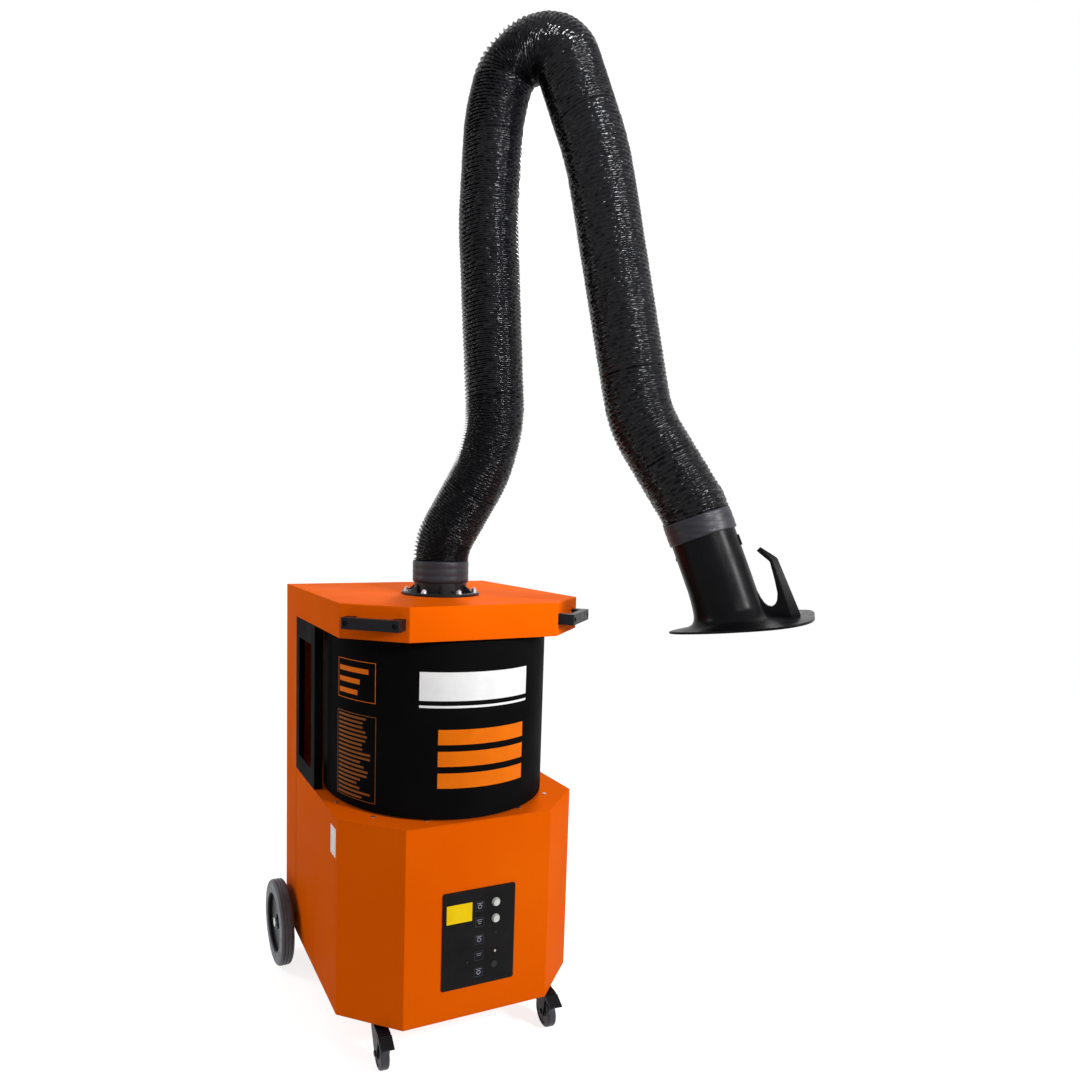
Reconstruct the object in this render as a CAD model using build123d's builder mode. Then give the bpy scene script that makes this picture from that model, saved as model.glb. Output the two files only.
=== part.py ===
"""Mobile extraction unit for welding fume: a wheeled cabinet with a filter drum and a blower,
and a self-supporting extraction arm inside a ribbed hose, with a hood on its end.

Millimetres, +Z up, the floor at Z = 0. The cabinet faces -Y and the arm reaches forward and right.
The origin is on the floor, in the middle of the whole unit's plan with the arm as it stands here.
"""

import os
from math import cos, hypot, pi, radians, sin

from build123d import *

os.makedirs("parts", exist_ok=True)

# Fits that every sub-part shares
running_fit = 0.05 * MM
moving_gap = 0.3 * MM
overrun = 5.0 * MM

# Cabinet: the whole body, its chamfered front corners and its levels
body_width = 690.0 * MM
body_depth = 690.0 * MM
chamfer_across = 139.0 * MM
chamfer_back = 122.0 * MM
underside_height = 115.0 * MM
housing_height = 520.0 * MM
drum_bay_height = 465.0 * MM
cover_height = 87.0 * MM
sheet = 2.0 * MM
base_thickness = 4.0 * MM
deck_thickness = 3.0 * MM
column_depth = 128.0 * MM
return_width = 25.0 * MM

# Filter drum, its pleated pack and its seals
drum_radius = 314.0 * MM
drum_front_margin = 7.0 * MM
drum_wall = 1.5 * MM
drum_end_thickness = 2.0 * MM
drum_opening_radius = 115.0 * MM
seal_height = 6.0 * MM
seal_width = 18.0 * MM
seal_rim = 12.0 * MM
seal_air = 0.5 * MM
pleat_count = 48
pleat_outer_radius = 296.0 * MM
pleat_inner_radius = 230.0 * MM
pleat_paper = 5.0 * MM

# Side covers with their tall slots
side_cover_sheet = 3.0 * MM
side_cover_front = 352.0 * MM
side_cover_turn = 24.0 * MM
slot_front = 388.0 * MM
slot_back = 528.0 * MM
slot_low_rise = 50.0 * MM
slot_high_drop = 58.0 * MM

# Grab handles on the chamfers of the top cover
grab_length = 154.0 * MM
grab_standoff = 42.0 * MM
grab_bar_height = 28.0 * MM
grab_bar_depth = 17.0 * MM
grab_post_length = 26.0 * MM
grab_shift = 6.0 * MM
grab_edge = 5.0 * MM
screw_recess_radius = 7.0 * MM
screw_recess_depth = 6.0 * MM

# Screws of the deck and the handles
screw_head_radius = 5.0 * MM
screw_head_height = 2.2 * MM
screw_shank_radius = 2.5 * MM
screw_shank_length = 9.0 * MM
deck_screw_shares = [(0.388, 0.058), (0.734, 0.159), (0.91, 0.348)]

# Spark trap in the top cover
trap_size = 300.0 * MM
trap_height = 20.0 * MM
trap_frame = 14.0 * MM
trap_hole = 24.0 * MM
trap_bar = 6.0 * MM
trap_depth_share = 0.3

# Arm flange on the top cover
pivot_across = 2.0 * MM
pivot_back = 288.0 * MM
neck_radius = 74.0 * MM
neck_wall = 4.0 * MM
flange_radius = 110.0 * MM
flange_thickness = 8.0 * MM
flange_edge = 2.0 * MM
flange_bolt_circle = 95.0 * MM
flange_bolt_count = 6
flange_bolt_start = 38.3
flange_collar_height = 37.0 * MM
gusset_height = 22.0 * MM
gusset_thickness = 5.0 * MM
gusset_reach = 28.0 * MM
bolt_radius = 4.0 * MM
bolt_hole_radius = 4.5 * MM
nut_across_radius = 7.5 * MM
nut_height = 6.5 * MM
washer_radius = 9.0 * MM
washer_thickness = 1.6 * MM
bolt_tip = 3.0 * MM
neck_rise = 58.0 * MM

# Arm: its heading seen from above, and the route of the hose in the arm's upright plane,
# each point as (reach from the swivel axis, height over the floor)
arm_heading = -49.0
cuff_length = 60.0 * MM
cuff_thickness = 4.0 * MM
route_scale = 1.0 * MM
hose_points = [
    (0, 1325 * route_scale),
    (120 * route_scale, 1530 * route_scale),
    (153 * route_scale, 1660 * route_scale),
    (118 * route_scale, 2190 * route_scale),
    (129 * route_scale, 2445 * route_scale),
    (167 * route_scale, 2584 * route_scale),
    (303 * route_scale, 2584 * route_scale),
    (404 * route_scale, 2300 * route_scale),
    (532 * route_scale, 1650 * route_scale),
    (665 * route_scale, 1436 * route_scale),
]
hose_bend_radii = [
    150 * route_scale,
    320 * route_scale,
    320 * route_scale,
    900 * route_scale,
    420 * route_scale,
    86 * route_scale,
    86 * route_scale,
    900 * route_scale,
    320 * route_scale,
    110 * route_scale,
]
shoulder_pivot = (140 * route_scale, 1600 * route_scale)
elbow_pivot = (236 * route_scale, 2584 * route_scale)
wrist_pivot = (532 * route_scale, 1655 * route_scale)
tilt_pivot = (665 * route_scale, 1437 * route_scale)
elbow_bar_low = (120 * route_scale, 2470 * route_scale)
elbow_bar_high = (345 * route_scale, 2470 * route_scale)
strut_knee = (0, 1332 * route_scale)

# Ribbed hose
rib_crest_radius = 78.5 * MM
rib_valley_radius = 73.0 * MM
hose_bore_radius = 71.2 * MM
loose_rib_pitch = 16.8 * MM
tight_rib_pitch = 9.0 * MM
rib_shares = [0.0, 0.28, 0.58, 0.86]
rib_radii = [rib_valley_radius, rib_crest_radius, rib_crest_radius, rib_valley_radius]
hood_run = 25.0 * MM
route_samples = 400
hose_cut_heights = [1478 * route_scale, 1722 * route_scale, 2392 * route_scale]
hose_far_cut_heights = [2392 * route_scale, 1762 * route_scale, 1546 * route_scale]

# Bars of the arm and their friction joints
bar_width = 28.0 * MM
bar_thickness = 16.0 * MM
knuckle_radius = 19.0 * MM
knuckle_clear = 29.0 * MM
cheek_thickness = 5.0 * MM
cheek_length = 62.0 * MM
friction_disc = 1.0 * MM
pin_radius = 6.0 * MM
pin_head_radius = 11.0 * MM
pin_head_height = 5.0 * MM
strut_bridge_height = 10.0 * MM
strut_bridge_rise = 26.0 * MM
strut_bridge_width = 30.0 * MM
neck_shoulder_wall = 5.0 * MM
neck_spigot_length = 26.0 * MM

# Hood: neck along a leaning axis, flare, oval rim and hook handle
hood_lean = 21.0
hood_ring_length = 26.0 * MM
hood_neck_wall = 3.0 * MM
hood_neck_length = 170.0 * MM
yoke_spigot_length = 16.0 * MM
yoke_bridge_height = 8.0 * MM
hood_cuff_length = 52.0 * MM
hood_cuff_thickness = 4.0 * MM
rim_centre = (783 * route_scale, 1157 * route_scale)
rim_slope = 11.5
rim_half_length = 154.0 * MM
rim_half_width = 138.0 * MM
rim_widening = 0.5
rim_corner_share = 0.3
outline_points = 24
rim_lip_height = 6.0 * MM
rim_lip_width = 7.0 * MM
flare_rises = [46.0 * MM, 26.0 * MM, 14.0 * MM, 6.0 * MM]
flare_half_lengths = [77.0 * MM, 82.0 * MM, 94.0 * MM, 134.0 * MM]
flare_half_widths = [77.0 * MM, 84.0 * MM, 98.0 * MM, 128.0 * MM]
flare_shifts = [-20.0 * MM, -17.0 * MM, -14.0 * MM, -4.0 * MM]
flare_widenings = [0.0, 0.06, 0.15, 0.38]
hook_thickness = 20.0 * MM
hook_points = [
    (775 * route_scale, 1216 * route_scale),
    (815 * route_scale, 1254 * route_scale),
    (831 * route_scale, 1222 * route_scale),
    (842 * route_scale, 1210 * route_scale),
    (852 * route_scale, 1207 * route_scale),
    (861 * route_scale, 1222 * route_scale),
    (861 * route_scale, 1240 * route_scale),
    (853 * route_scale, 1272 * route_scale),
    (841 * route_scale, 1312 * route_scale),
    (812 * route_scale, 1336 * route_scale),
    (819 * route_scale, 1345 * route_scale),
    (857 * route_scale, 1321 * route_scale),
    (910 * route_scale, 1200 * route_scale),
    (914 * route_scale, 1186 * route_scale),
    (790 * route_scale, 1166 * route_scale),
]

# Damper in the hood's neck
damper_depth = 84.0 * MM
damper_radius = 66.0 * MM
damper_thickness = 2.0 * MM
damper_shaft_radius = 4.0 * MM
damper_lever_length = 26.0 * MM
damper_lever_width = 9.0 * MM
damper_lever_thickness = 3.0 * MM

# Control panel on the front, its buttons and lamps; places are from the panel's middle
panel_width = 207.0 * MM
panel_height = 259.0 * MM
panel_rise = 81.0 * MM
panel_thickness = 3.0 * MM
panel_corner = 5.0 * MM
panel_lap = 10.0 * MM
button_across = 46.5 * MM
button_heights = [87.0 * MM, 43.0 * MM]
button_radius = 8.8 * MM
button_crown = 4.5 * MM
button_travel = 2.5 * MM
button_stem_radius = 4.0 * MM
button_stem_length = 22.0 * MM
button_flange = 2.0 * MM
button_edge = 0.8 * MM
bezel_radius = 11.5 * MM
bezel_height = 3.0 * MM
lamp_places = [(48.5 * MM, 4.5 * MM), (47.5 * MM, -46.5 * MM), (-32.5 * MM, -62.0 * MM)]
lamp_radius = 3.2 * MM
lamp_height = 1.6 * MM
hour_meter_place = (45.5 * MM, -82.0 * MM)
hour_meter_radius = 9.0 * MM

# Control box behind the panel and what it holds
box_width = 186.0 * MM
box_height = 236.0 * MM
box_depth = 58.0 * MM
box_wall = 1.5 * MM
contactor_size = (46.0 * MM, 36.0 * MM, 60.0 * MM)
transformer_size = (70.0 * MM, 38.0 * MM, 56.0 * MM)
terminal_size = (120.0 * MM, 26.0 * MM, 30.0 * MM)
board_across_shares = [-0.28, 0.2, 0]
board_up_shares = [0.22, 0.2, -0.3]

# Blower: housing under the deck, impeller and motor
blower_radius = 232.0 * MM
blower_height = 150.0 * MM
blower_throat = 60.0 * MM
blower_inlet_radius = 112.0 * MM
blower_outlet_width = 150.0 * MM
impeller_radius = 180.0 * MM
impeller_height = 92.0 * MM
impeller_plate = 3.0 * MM
impeller_eye_radius = 106.0 * MM
blade_count = 9
blade_thickness = 3.0 * MM
blade_root_radius = 100.0 * MM
blade_sweep = 48.0
hub_radius = 30.0 * MM
hub_height = 36.0 * MM
shaft_radius = 14.0 * MM
shaft_depth_share = 0.7
motor_radius = 92.0 * MM
motor_height = 190.0 * MM
motor_fin_depth = 6.0 * MM
motor_fin_count = 24
motor_fin_thickness = 3.0 * MM
motor_flange_radius = 112.0 * MM
motor_flange_thickness = 10.0 * MM
bracket_leg = 24.0 * MM
bracket_width = 300.0 * MM
bracket_thickness = 6.0 * MM

# Exhaust grille and cable gland at the back
grille_width = 360.0 * MM
grille_height = 200.0 * MM
grille_rise = 150.0 * MM
grille_thickness = 3.0 * MM
grille_slot_count = 8
grille_slot_height = 10.0 * MM
grille_border = 22.0 * MM
gland_across = 230.0 * MM
gland_rise = 60.0 * MM
gland_bore_radius = 5.0 * MM
gland_nut_radius = 13.0 * MM
gland_nut_length = 10.0 * MM
gland_dome_radius = 10.5 * MM
gland_dome_length = 14.0 * MM
gland_thread_radius = 8.0 * MM
gland_thread_length = 9.0 * MM

# Rear wheels, axle and brackets
wheel_radius = 127.0 * MM
wheel_width = 40.0 * MM
wheel_gap = 20.0 * MM
wheel_back = 610.0 * MM
tyre_depth = 38.0 * MM
tyre_shoulder = 9.0 * MM
tread_groove_width = 3.0 * MM
tread_groove_depth = 3.0 * MM
tread_groove_count = 3
rim_bead = 4.0 * MM
rim_disc_thickness = 8.0 * MM
rim_disc_set = 16.0 * MM
rim_hub_radius = 22.0 * MM
rim_hub_set = 8.0 * MM
axle_radius = 8.0 * MM
axle_cap_radius = 14.0 * MM
axle_cap_length = 5.0 * MM
axle_bracket_width = 60.0 * MM
axle_bracket_height = 46.0 * MM
axle_bracket_thickness = 6.0 * MM

# Front casters; side profiles are in the plane that holds the trail
caster_across = 243.0 * MM
caster_back = 78.0 * MM
caster_heading = -95.0
caster_trail = 34.0 * MM
caster_wheel_radius = 40.0 * MM
caster_wheel_width = 24.0 * MM
caster_tyre_depth = 9.0 * MM
caster_hub_groove = 2.0 * MM
caster_axle_radius = 4.0 * MM
caster_side_gap = 2.0 * MM
fork_cheek = 3.0 * MM
fork_crown_low = 100.0 * MM
fork_crown_high = 104.0 * MM
fork_back = -20.0 * MM
fork_front = 58.0 * MM
fork_foot_radius = 14.0 * MM
head_radius = 24.0 * MM
head_plate = 4.0 * MM
head_stem_radius = 9.0 * MM
pedal_pivot = (46.0 * MM, 93.5 * MM)
pedal_pin_radius = 2.5 * MM
pedal_boss_radius = 5.0 * MM
pedal_reach = 92.0 * MM
pedal_drop = 2.0 * MM
pedal_thickness = 4.0 * MM
pedal_width = 36.0 * MM
pedal_wedge_start = 62.0 * MM
pedal_wedge_high = 103.0 * MM
pedal_wedge_low = 90.0 * MM
pedal_tip_high = 86.0 * MM
pedal_tip_low = 83.0 * MM

# Levels over the floor
base_top = underside_height + base_thickness
deck_top = underside_height + housing_height
deck_low = deck_top - deck_thickness
cover_low = deck_top + drum_bay_height
cover_top = cover_low + cover_height
half_width = body_width / 2
chamfer_length = hypot(chamfer_across, chamfer_back)

# Arm axes and the end of the hood's reach, which places the cabinet about the origin
head_x = cos(radians(arm_heading))
head_y = sin(radians(arm_heading))
wheel_reach = half_width + wheel_gap + wheel_width
rim_reach = rim_half_length + rim_lip_width
rim_spread = rim_half_width + rim_lip_width
rim_turns = [2 * pi * step / outline_points for step in range(outline_points)]
rim_push = [1 + rim_corner_share * rim_widening * sin(2 * turn) ** 2 * (cos(turn) > 0) for turn in rim_turns]
rim_out = rim_reach * cos(radians(rim_slope))
rim_outwards = [rim_out * cos(turn) * push for turn, push in zip(rim_turns, rim_push)]
rim_wide = [rim_spread * (1 + rim_widening * cos(turn)) for turn in rim_turns]
rim_sideways = [wide * sin(turn) * push for wide, turn, push in zip(rim_wide, rim_turns, rim_push)]
rim_x = max(out * head_x - side * head_y for out, side in zip(rim_outwards, rim_sideways))
rim_y = max(side * head_x - out * head_y for out, side in zip(rim_outwards, rim_sideways))
hood_reach_x = pivot_across + rim_centre[0] * head_x + rim_x
hood_reach_y = -pivot_back - rim_centre[0] * head_y + rim_y
tail_reach = wheel_back + wheel_radius
cabinet_x = (wheel_reach - hood_reach_x) / 2
cabinet_y = (hood_reach_y - tail_reach) / 2

# Cabinet frame: x across, y back from the front face, z up from the floor
cab = Plane(origin=(cabinet_x, cabinet_y, 0), x_dir=(1, 0, 0), z_dir=(0, 0, 1))
pivot = cab.from_local_coords((pivot_across, pivot_back, 0))
# Arm plane: x outwards, y up, and its normal towards the cabinet's front left
arm = Plane(origin=pivot, x_dir=(head_x, head_y, 0), z_dir=(head_y, -head_x, 0))
arm_normal = arm.z_dir


def spot(across, back, up):
    """A point of the cabinet frame, in the part's own frame."""
    return cab.from_local_coords((across, back, up))


def level(up, across=0, back=0):
    """A horizontal plane of the cabinet, looking up."""
    return Plane(origin=spot(across, back, up), x_dir=(1, 0, 0), z_dir=(0, 0, 1))


def facing_front(back, across=0, up=0):
    """An upright plane that looks forwards: x to the right, y up."""
    return Plane(origin=spot(across, back, up), x_dir=(1, 0, 0), z_dir=(0, -1, 0))


def facing_back(back, across=0, up=0):
    """An upright plane that looks backwards: x to the left, y up."""
    return Plane(origin=spot(across, back, up), x_dir=(-1, 0, 0), z_dir=(0, 1, 0))


def facing_side(side, across, back=0, up=0):
    """An upright plane that looks out of one side (-1 left, 1 right), y up."""
    return Plane(origin=spot(across, back, up), x_dir=(0, side, 0), z_dir=(side, 0, 0))


def arm_spot(point):
    """A point of the arm plane, in the part's own frame."""
    return arm.from_local_coords((point[0], point[1], 0))


def finish(builder, name):
    """Labels a sub-part and writes it to its own file."""
    builder.part.label = name
    export_step(builder.part, f"parts/{name}.step")


def between(start, end, share):
    """The point at a share of the way from one plane point to another."""
    return (start[0] + (end[0] - start[0]) * share, start[1] + (end[1] - start[1]) * share)


def octagon(depth, inset=0):
    """The cabinet's plan with its chamfered front corners, as a face to add to a sketch."""
    with BuildSketch() as plan:
        with BuildLine():
            Polyline(
                (-half_width, depth),
                (-half_width, chamfer_back),
                (chamfer_across - half_width, 0),
                (half_width - chamfer_across, 0),
                (half_width, chamfer_back),
                (half_width, depth),
                close=True,
            )
        make_face()
        if inset:
            offset(amount=-inset, kind=Kind.INTERSECTION)
    return plan.sketch


# Bottom plate
with BuildPart() as base_plate:
    with BuildSketch(level(underside_height)):
        add(octagon(body_depth))
    extrude(amount=base_thickness)
    with BuildSketch(level(underside_height, 0, body_depth - column_depth / 2)):
        with GridLocations(body_width / 2, 0, 2, 1):
            SlotOverall(body_width / 4, column_depth / 3)
    extrude(amount=base_thickness, mode=Mode.SUBTRACT)
finish(base_plate, "base_plate")

# Lower housing: sheet walls round the front, open to the column at the back
column_front = body_depth - column_depth
panel_middle = underside_height + panel_rise + panel_height / 2
way_height = deck_low - base_top - return_width
way_middle = base_top + way_height / 2
with BuildPart() as lower_shell:
    with BuildSketch(level(base_top)):
        add(octagon(column_front))
    extrude(amount=deck_low - base_top)
    with BuildSketch(level(base_top)):
        add(octagon(column_front, sheet))
    extrude(amount=deck_low - base_top, mode=Mode.SUBTRACT)
    with BuildSketch(facing_back(column_front - sheet - overrun, 0, way_middle)):
        Rectangle(body_width - 2 * return_width, way_height)
    extrude(amount=sheet + 2 * overrun, mode=Mode.SUBTRACT)
    with BuildSketch(facing_front(sheet + overrun, 0, panel_middle)):
        Rectangle(panel_width - 2 * panel_lap, panel_height - 2 * panel_lap)
    extrude(amount=sheet + 2 * overrun, mode=Mode.SUBTRACT)
finish(lower_shell, "lower_shell")

# Deck: the top of the lower housing, with the drum's air opening
drum_back = drum_front_margin + drum_radius
deck_screw_places = []
for across_share, back_share in deck_screw_shares:
    for side in (-1, 1):
        deck_screw_places.append((side * across_share * half_width, back_share * body_depth))
with BuildPart() as deck_plate:
    with BuildSketch(level(deck_low)):
        add(octagon(column_front))
        with Locations((0, column_front + (column_depth - sheet) / 2)):
            Rectangle(body_width - 2 * return_width, column_depth - sheet)
    extrude(amount=deck_thickness)
    with BuildSketch(level(deck_low, 0, drum_back)):
        Circle(drum_opening_radius)
    extrude(amount=deck_thickness, mode=Mode.SUBTRACT)
    with BuildSketch(level(deck_low)):
        with Locations(deck_screw_places):
            Circle(screw_shank_radius + running_fit)
    extrude(amount=deck_thickness, mode=Mode.SUBTRACT)
finish(deck_plate, "deck_plate")

# Rear column: a box of sheet with its front cut open behind the drum and the housing
wheel_axle_up = wheel_radius
grille_middle = underside_height + grille_rise + grille_height / 2
with BuildPart() as rear_column:
    with BuildSketch(level(base_top, 0, body_depth - column_depth / 2)):
        Rectangle(body_width, column_depth)
    extrude(amount=cover_low - base_top)
    with BuildSketch(level(base_top, 0, body_depth - column_depth / 2)):
        Rectangle(body_width - 2 * sheet, column_depth - 2 * sheet)
    extrude(amount=cover_low - base_top, mode=Mode.SUBTRACT)
    with BuildSketch(facing_back(column_front - overrun, 0, way_middle)):
        Rectangle(body_width - 2 * return_width, way_height)
    extrude(amount=sheet + 2 * overrun, mode=Mode.SUBTRACT)
    with BuildSketch(facing_back(column_front - overrun, 0, (deck_low + cover_low) / 2)):
        Rectangle(body_width - 2 * return_width, cover_low - deck_low)
    extrude(amount=sheet + 2 * overrun, mode=Mode.SUBTRACT)
    with BuildSketch(facing_back(body_depth - sheet - overrun, 0, grille_middle)):
        Rectangle(grille_width - 2 * grille_border, grille_height - 2 * grille_border)
    extrude(amount=sheet + 2 * overrun, mode=Mode.SUBTRACT)
    with BuildSketch(facing_back(body_depth - sheet - overrun, gland_across, underside_height + gland_rise)):
        Circle(gland_thread_radius)
    extrude(amount=sheet + 2 * overrun, mode=Mode.SUBTRACT)
    with BuildSketch(facing_side(1, -half_width - overrun, wheel_back, wheel_axle_up)):
        Circle(axle_radius + running_fit)
    extrude(amount=body_width + 2 * overrun, mode=Mode.SUBTRACT)
finish(rear_column, "rear_column")

# Top cover: a sheet lid over the drum, with the arm's opening, and its floor
with BuildPart() as top_cover:
    with BuildSketch(level(cover_low + sheet)):
        add(octagon(body_depth))
    extrude(amount=cover_height - sheet)
    with BuildSketch(level(cover_low + sheet)):
        add(octagon(body_depth, sheet))
    extrude(amount=cover_height - 2 * sheet, mode=Mode.SUBTRACT)
    with BuildSketch(level(cover_top - sheet, pivot_across, pivot_back)):
        Circle(neck_radius - neck_wall)
        with PolarLocations(flange_bolt_circle, flange_bolt_count, flange_bolt_start):
            Circle(bolt_hole_radius)
    extrude(amount=sheet, mode=Mode.SUBTRACT)
    top_edges = top_cover.edges().group_by(Axis.Z)[-1].filter_by(GeomType.LINE)
    fillet(top_edges, sheet)
finish(top_cover, "top_cover")

with BuildPart() as top_cover_floor:
    with BuildSketch(level(cover_low)):
        add(octagon(body_depth))
    extrude(amount=sheet)
    with BuildSketch(level(cover_low, 0, drum_back)):
        Circle(drum_opening_radius)
    extrude(amount=sheet, mode=Mode.SUBTRACT)
finish(top_cover_floor, "top_cover_floor")

# Spark trap: a mesh cassette on the floor of the top cover, over the drum's opening
trap_cells = int((trap_size - 2 * trap_frame) // (trap_hole + trap_bar))
with BuildPart() as spark_trap:
    with BuildSketch(level(cover_low + sheet, 0, drum_back)):
        Rectangle(trap_size, trap_size)
    extrude(amount=trap_height)
    with BuildSketch(level(cover_low + sheet + trap_height * trap_depth_share, 0, drum_back)):
        Rectangle(trap_size - 2 * trap_frame, trap_size - 2 * trap_frame)
    extrude(amount=trap_height, mode=Mode.SUBTRACT)
    with BuildSketch(level(cover_low + sheet, 0, drum_back)):
        with GridLocations(trap_hole + trap_bar, trap_hole + trap_bar, trap_cells, trap_cells):
            Rectangle(trap_hole, trap_hole)
    extrude(amount=trap_height * trap_depth_share, mode=Mode.SUBTRACT)
finish(spark_trap, "spark_trap")

# Side covers: black sheet beside the drum, turned inwards in front, with a tall slot
for side, side_name in ((-1, "left"), (1, "right")):
    with BuildPart() as side_cover:
        with BuildSketch(level(deck_top)):
            with BuildLine():
                Polyline(
                    (side * half_width, column_front),
                    (side * half_width, side_cover_front),
                    (side * (half_width - side_cover_turn), side_cover_front),
                    (side * (half_width - side_cover_turn), side_cover_front + side_cover_sheet),
                    (side * (half_width - side_cover_sheet), side_cover_front + side_cover_sheet),
                    (side * (half_width - side_cover_sheet), column_front),
                    close=True,
                )
            make_face()
        extrude(amount=drum_bay_height)
        slot_middle = (slot_front + slot_back) / 2
        slot_low = deck_top + slot_low_rise
        slot_high = cover_low - slot_high_drop
        slot_up = (slot_low + slot_high) / 2
        with BuildSketch(facing_side(side, side * (half_width - side_cover_turn), slot_middle, slot_up)):
            Rectangle(slot_back - slot_front, slot_high - slot_low)
        extrude(amount=side_cover_turn + overrun, mode=Mode.SUBTRACT)
    finish(side_cover, f"side_cover_{side_name}")

# Grab handles: a square bar on two posts, each post with a screw recess
grab_middle_share = 0.5 + grab_shift / chamfer_length
cover_middle = cover_low + cover_height / 2


def chamfer_plane(side):
    """The plane of one front chamfer, looking out, at the handle's middle, x along the chamfer."""
    edge_out = (half_width, chamfer_back)
    edge_in = (half_width - chamfer_across, 0)
    middle = between(edge_out, edge_in, grab_middle_share)
    along = cab.x_dir * chamfer_across + cab.y_dir * (side * chamfer_back)
    outward = cab.x_dir * (side * chamfer_back) - cab.y_dir * chamfer_across
    return Plane(origin=spot(side * middle[0], middle[1], cover_middle), x_dir=along, z_dir=outward)


grab_post_at = (grab_length - grab_post_length) / 2
for side, side_name in ((-1, "left"), (1, "right")):
    face = chamfer_plane(side)
    with BuildPart() as grab_handle:
        with BuildSketch(face):
            with GridLocations(2 * grab_post_at, 0, 2, 1):
                Rectangle(grab_post_length, grab_bar_height)
        extrude(amount=grab_standoff)
        with BuildSketch(face.offset(grab_standoff - grab_bar_depth)):
            Rectangle(grab_length, grab_bar_height)
        extrude(amount=grab_bar_depth)
        outer_edges = grab_handle.edges().filter_by(Axis.Z).group_by(SortBy.LENGTH)[-1]
        corner_edges = [
            edge
            for edge in outer_edges
            if face.to_local_coords(edge.center()).Z > grab_standoff - grab_edge
        ]
        fillet(corner_edges, grab_edge)
        with BuildSketch(face.offset(grab_standoff)):
            with GridLocations(2 * grab_post_at, 0, 2, 1):
                Circle(screw_recess_radius)
        extrude(amount=-screw_recess_depth, mode=Mode.SUBTRACT)
        with BuildSketch(face.offset(grab_standoff)):
            with GridLocations(2 * grab_post_at, 0, 2, 1):
                Circle(screw_shank_radius + running_fit)
        extrude(amount=-grab_standoff, mode=Mode.SUBTRACT)
    finish(grab_handle, f"grab_handle_{side_name}")

# Seals of the drum: one ring on the deck, one under the cover's floor
with BuildPart() as filter_seals:
    with BuildSketch(level(deck_top, 0, drum_back)):
        Circle(drum_radius - seal_rim)
        Circle(drum_radius - seal_rim - seal_width, mode=Mode.SUBTRACT)
    extrude(amount=seal_height)
    with BuildSketch(level(cover_low - seal_height, 0, drum_back)):
        Circle(drum_radius - seal_rim)
        Circle(drum_radius - seal_rim - seal_width, mode=Mode.SUBTRACT)
    extrude(amount=seal_height)
finish(filter_seals, "filter_seals")

# Filter drum: thin shell with end plates and a rolled bead at each end
drum_low = deck_top + seal_height
drum_high = cover_low - seal_height - seal_air
with BuildPart() as filter_drum:
    with BuildSketch(level(drum_low, 0, drum_back)):
        Circle(drum_radius)
    extrude(amount=drum_high - drum_low)
    with BuildSketch(level(drum_low + drum_end_thickness, 0, drum_back)):
        Circle(drum_radius - drum_wall)
    extrude(amount=drum_high - drum_low - 2 * drum_end_thickness, mode=Mode.SUBTRACT)
    with BuildSketch(level(drum_low, 0, drum_back)):
        Circle(drum_opening_radius)
    extrude(amount=drum_high - drum_low, mode=Mode.SUBTRACT)
    rim_edges = filter_drum.edges().filter_by(GeomType.CIRCLE).group_by(SortBy.RADIUS)[-1]
    fillet(rim_edges, drum_wall - running_fit)
finish(filter_drum, "filter_drum")


def star(outer, inner):
    """A closed zigzag of pleats between two radii, as a face to add to a sketch."""
    points = []
    for step in range(2 * pleat_count):
        radius = outer if step % 2 == 0 else inner
        angle = pi * step / pleat_count
        points.append((radius * cos(angle), radius * sin(angle)))
    with BuildSketch() as zigzag:
        with BuildLine():
            Polyline(*points, close=True)
        make_face()
    return zigzag.sketch


with BuildPart() as filter_pleats:
    with BuildSketch(level(drum_low + drum_end_thickness, 0, drum_back)):
        add(star(pleat_outer_radius, pleat_inner_radius))
        add(star(pleat_outer_radius - pleat_paper, pleat_inner_radius - pleat_paper), mode=Mode.SUBTRACT)
    extrude(amount=drum_high - drum_low - 2 * drum_end_thickness)
finish(filter_pleats, "filter_pleats")

# Arm flange: plate, collar and gussets in one casting, bolted through the top cover
flange_top = cover_top + flange_thickness
collar_top = cover_top + flange_collar_height
cuff_top = collar_top + neck_rise
with BuildPart() as arm_flange:
    with BuildSketch(level(cover_top, pivot_across, pivot_back)):
        Circle(flange_radius)
    extrude(amount=flange_thickness)
    chamfer(arm_flange.edges().group_by(Axis.Z)[-1], flange_edge)
    with BuildSketch(level(cover_top, pivot_across, pivot_back)):
        Circle(neck_radius)
    extrude(amount=flange_collar_height)
    for step in range(flange_bolt_count):
        angle = radians(flange_bolt_start + 360 * (step + 0.5) / flange_bolt_count)
        outward = (cos(angle), sin(angle), 0)
        sideways = (sin(angle), -cos(angle), 0)
        gusset_plane = Plane(origin=spot(pivot_across, pivot_back, flange_top), x_dir=outward, z_dir=sideways)
        with BuildSketch(gusset_plane):
            with BuildLine():
                Polyline(
                    (neck_radius - neck_wall, 0),
                    (neck_radius + gusset_reach, 0),
                    (neck_radius, gusset_height),
                    (neck_radius - neck_wall, gusset_height),
                    close=True,
                )
            make_face()
        extrude(amount=gusset_thickness / 2, both=True)
    with BuildSketch(level(cover_top, pivot_across, pivot_back)):
        Circle(neck_radius - neck_wall)
    extrude(amount=flange_collar_height, mode=Mode.SUBTRACT)
    with BuildSketch(level(cover_top, pivot_across, pivot_back)):
        with PolarLocations(flange_bolt_circle, flange_bolt_count, flange_bolt_start):
            Circle(bolt_hole_radius)
    extrude(amount=flange_thickness, mode=Mode.SUBTRACT)
finish(arm_flange, "arm_flange")

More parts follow.
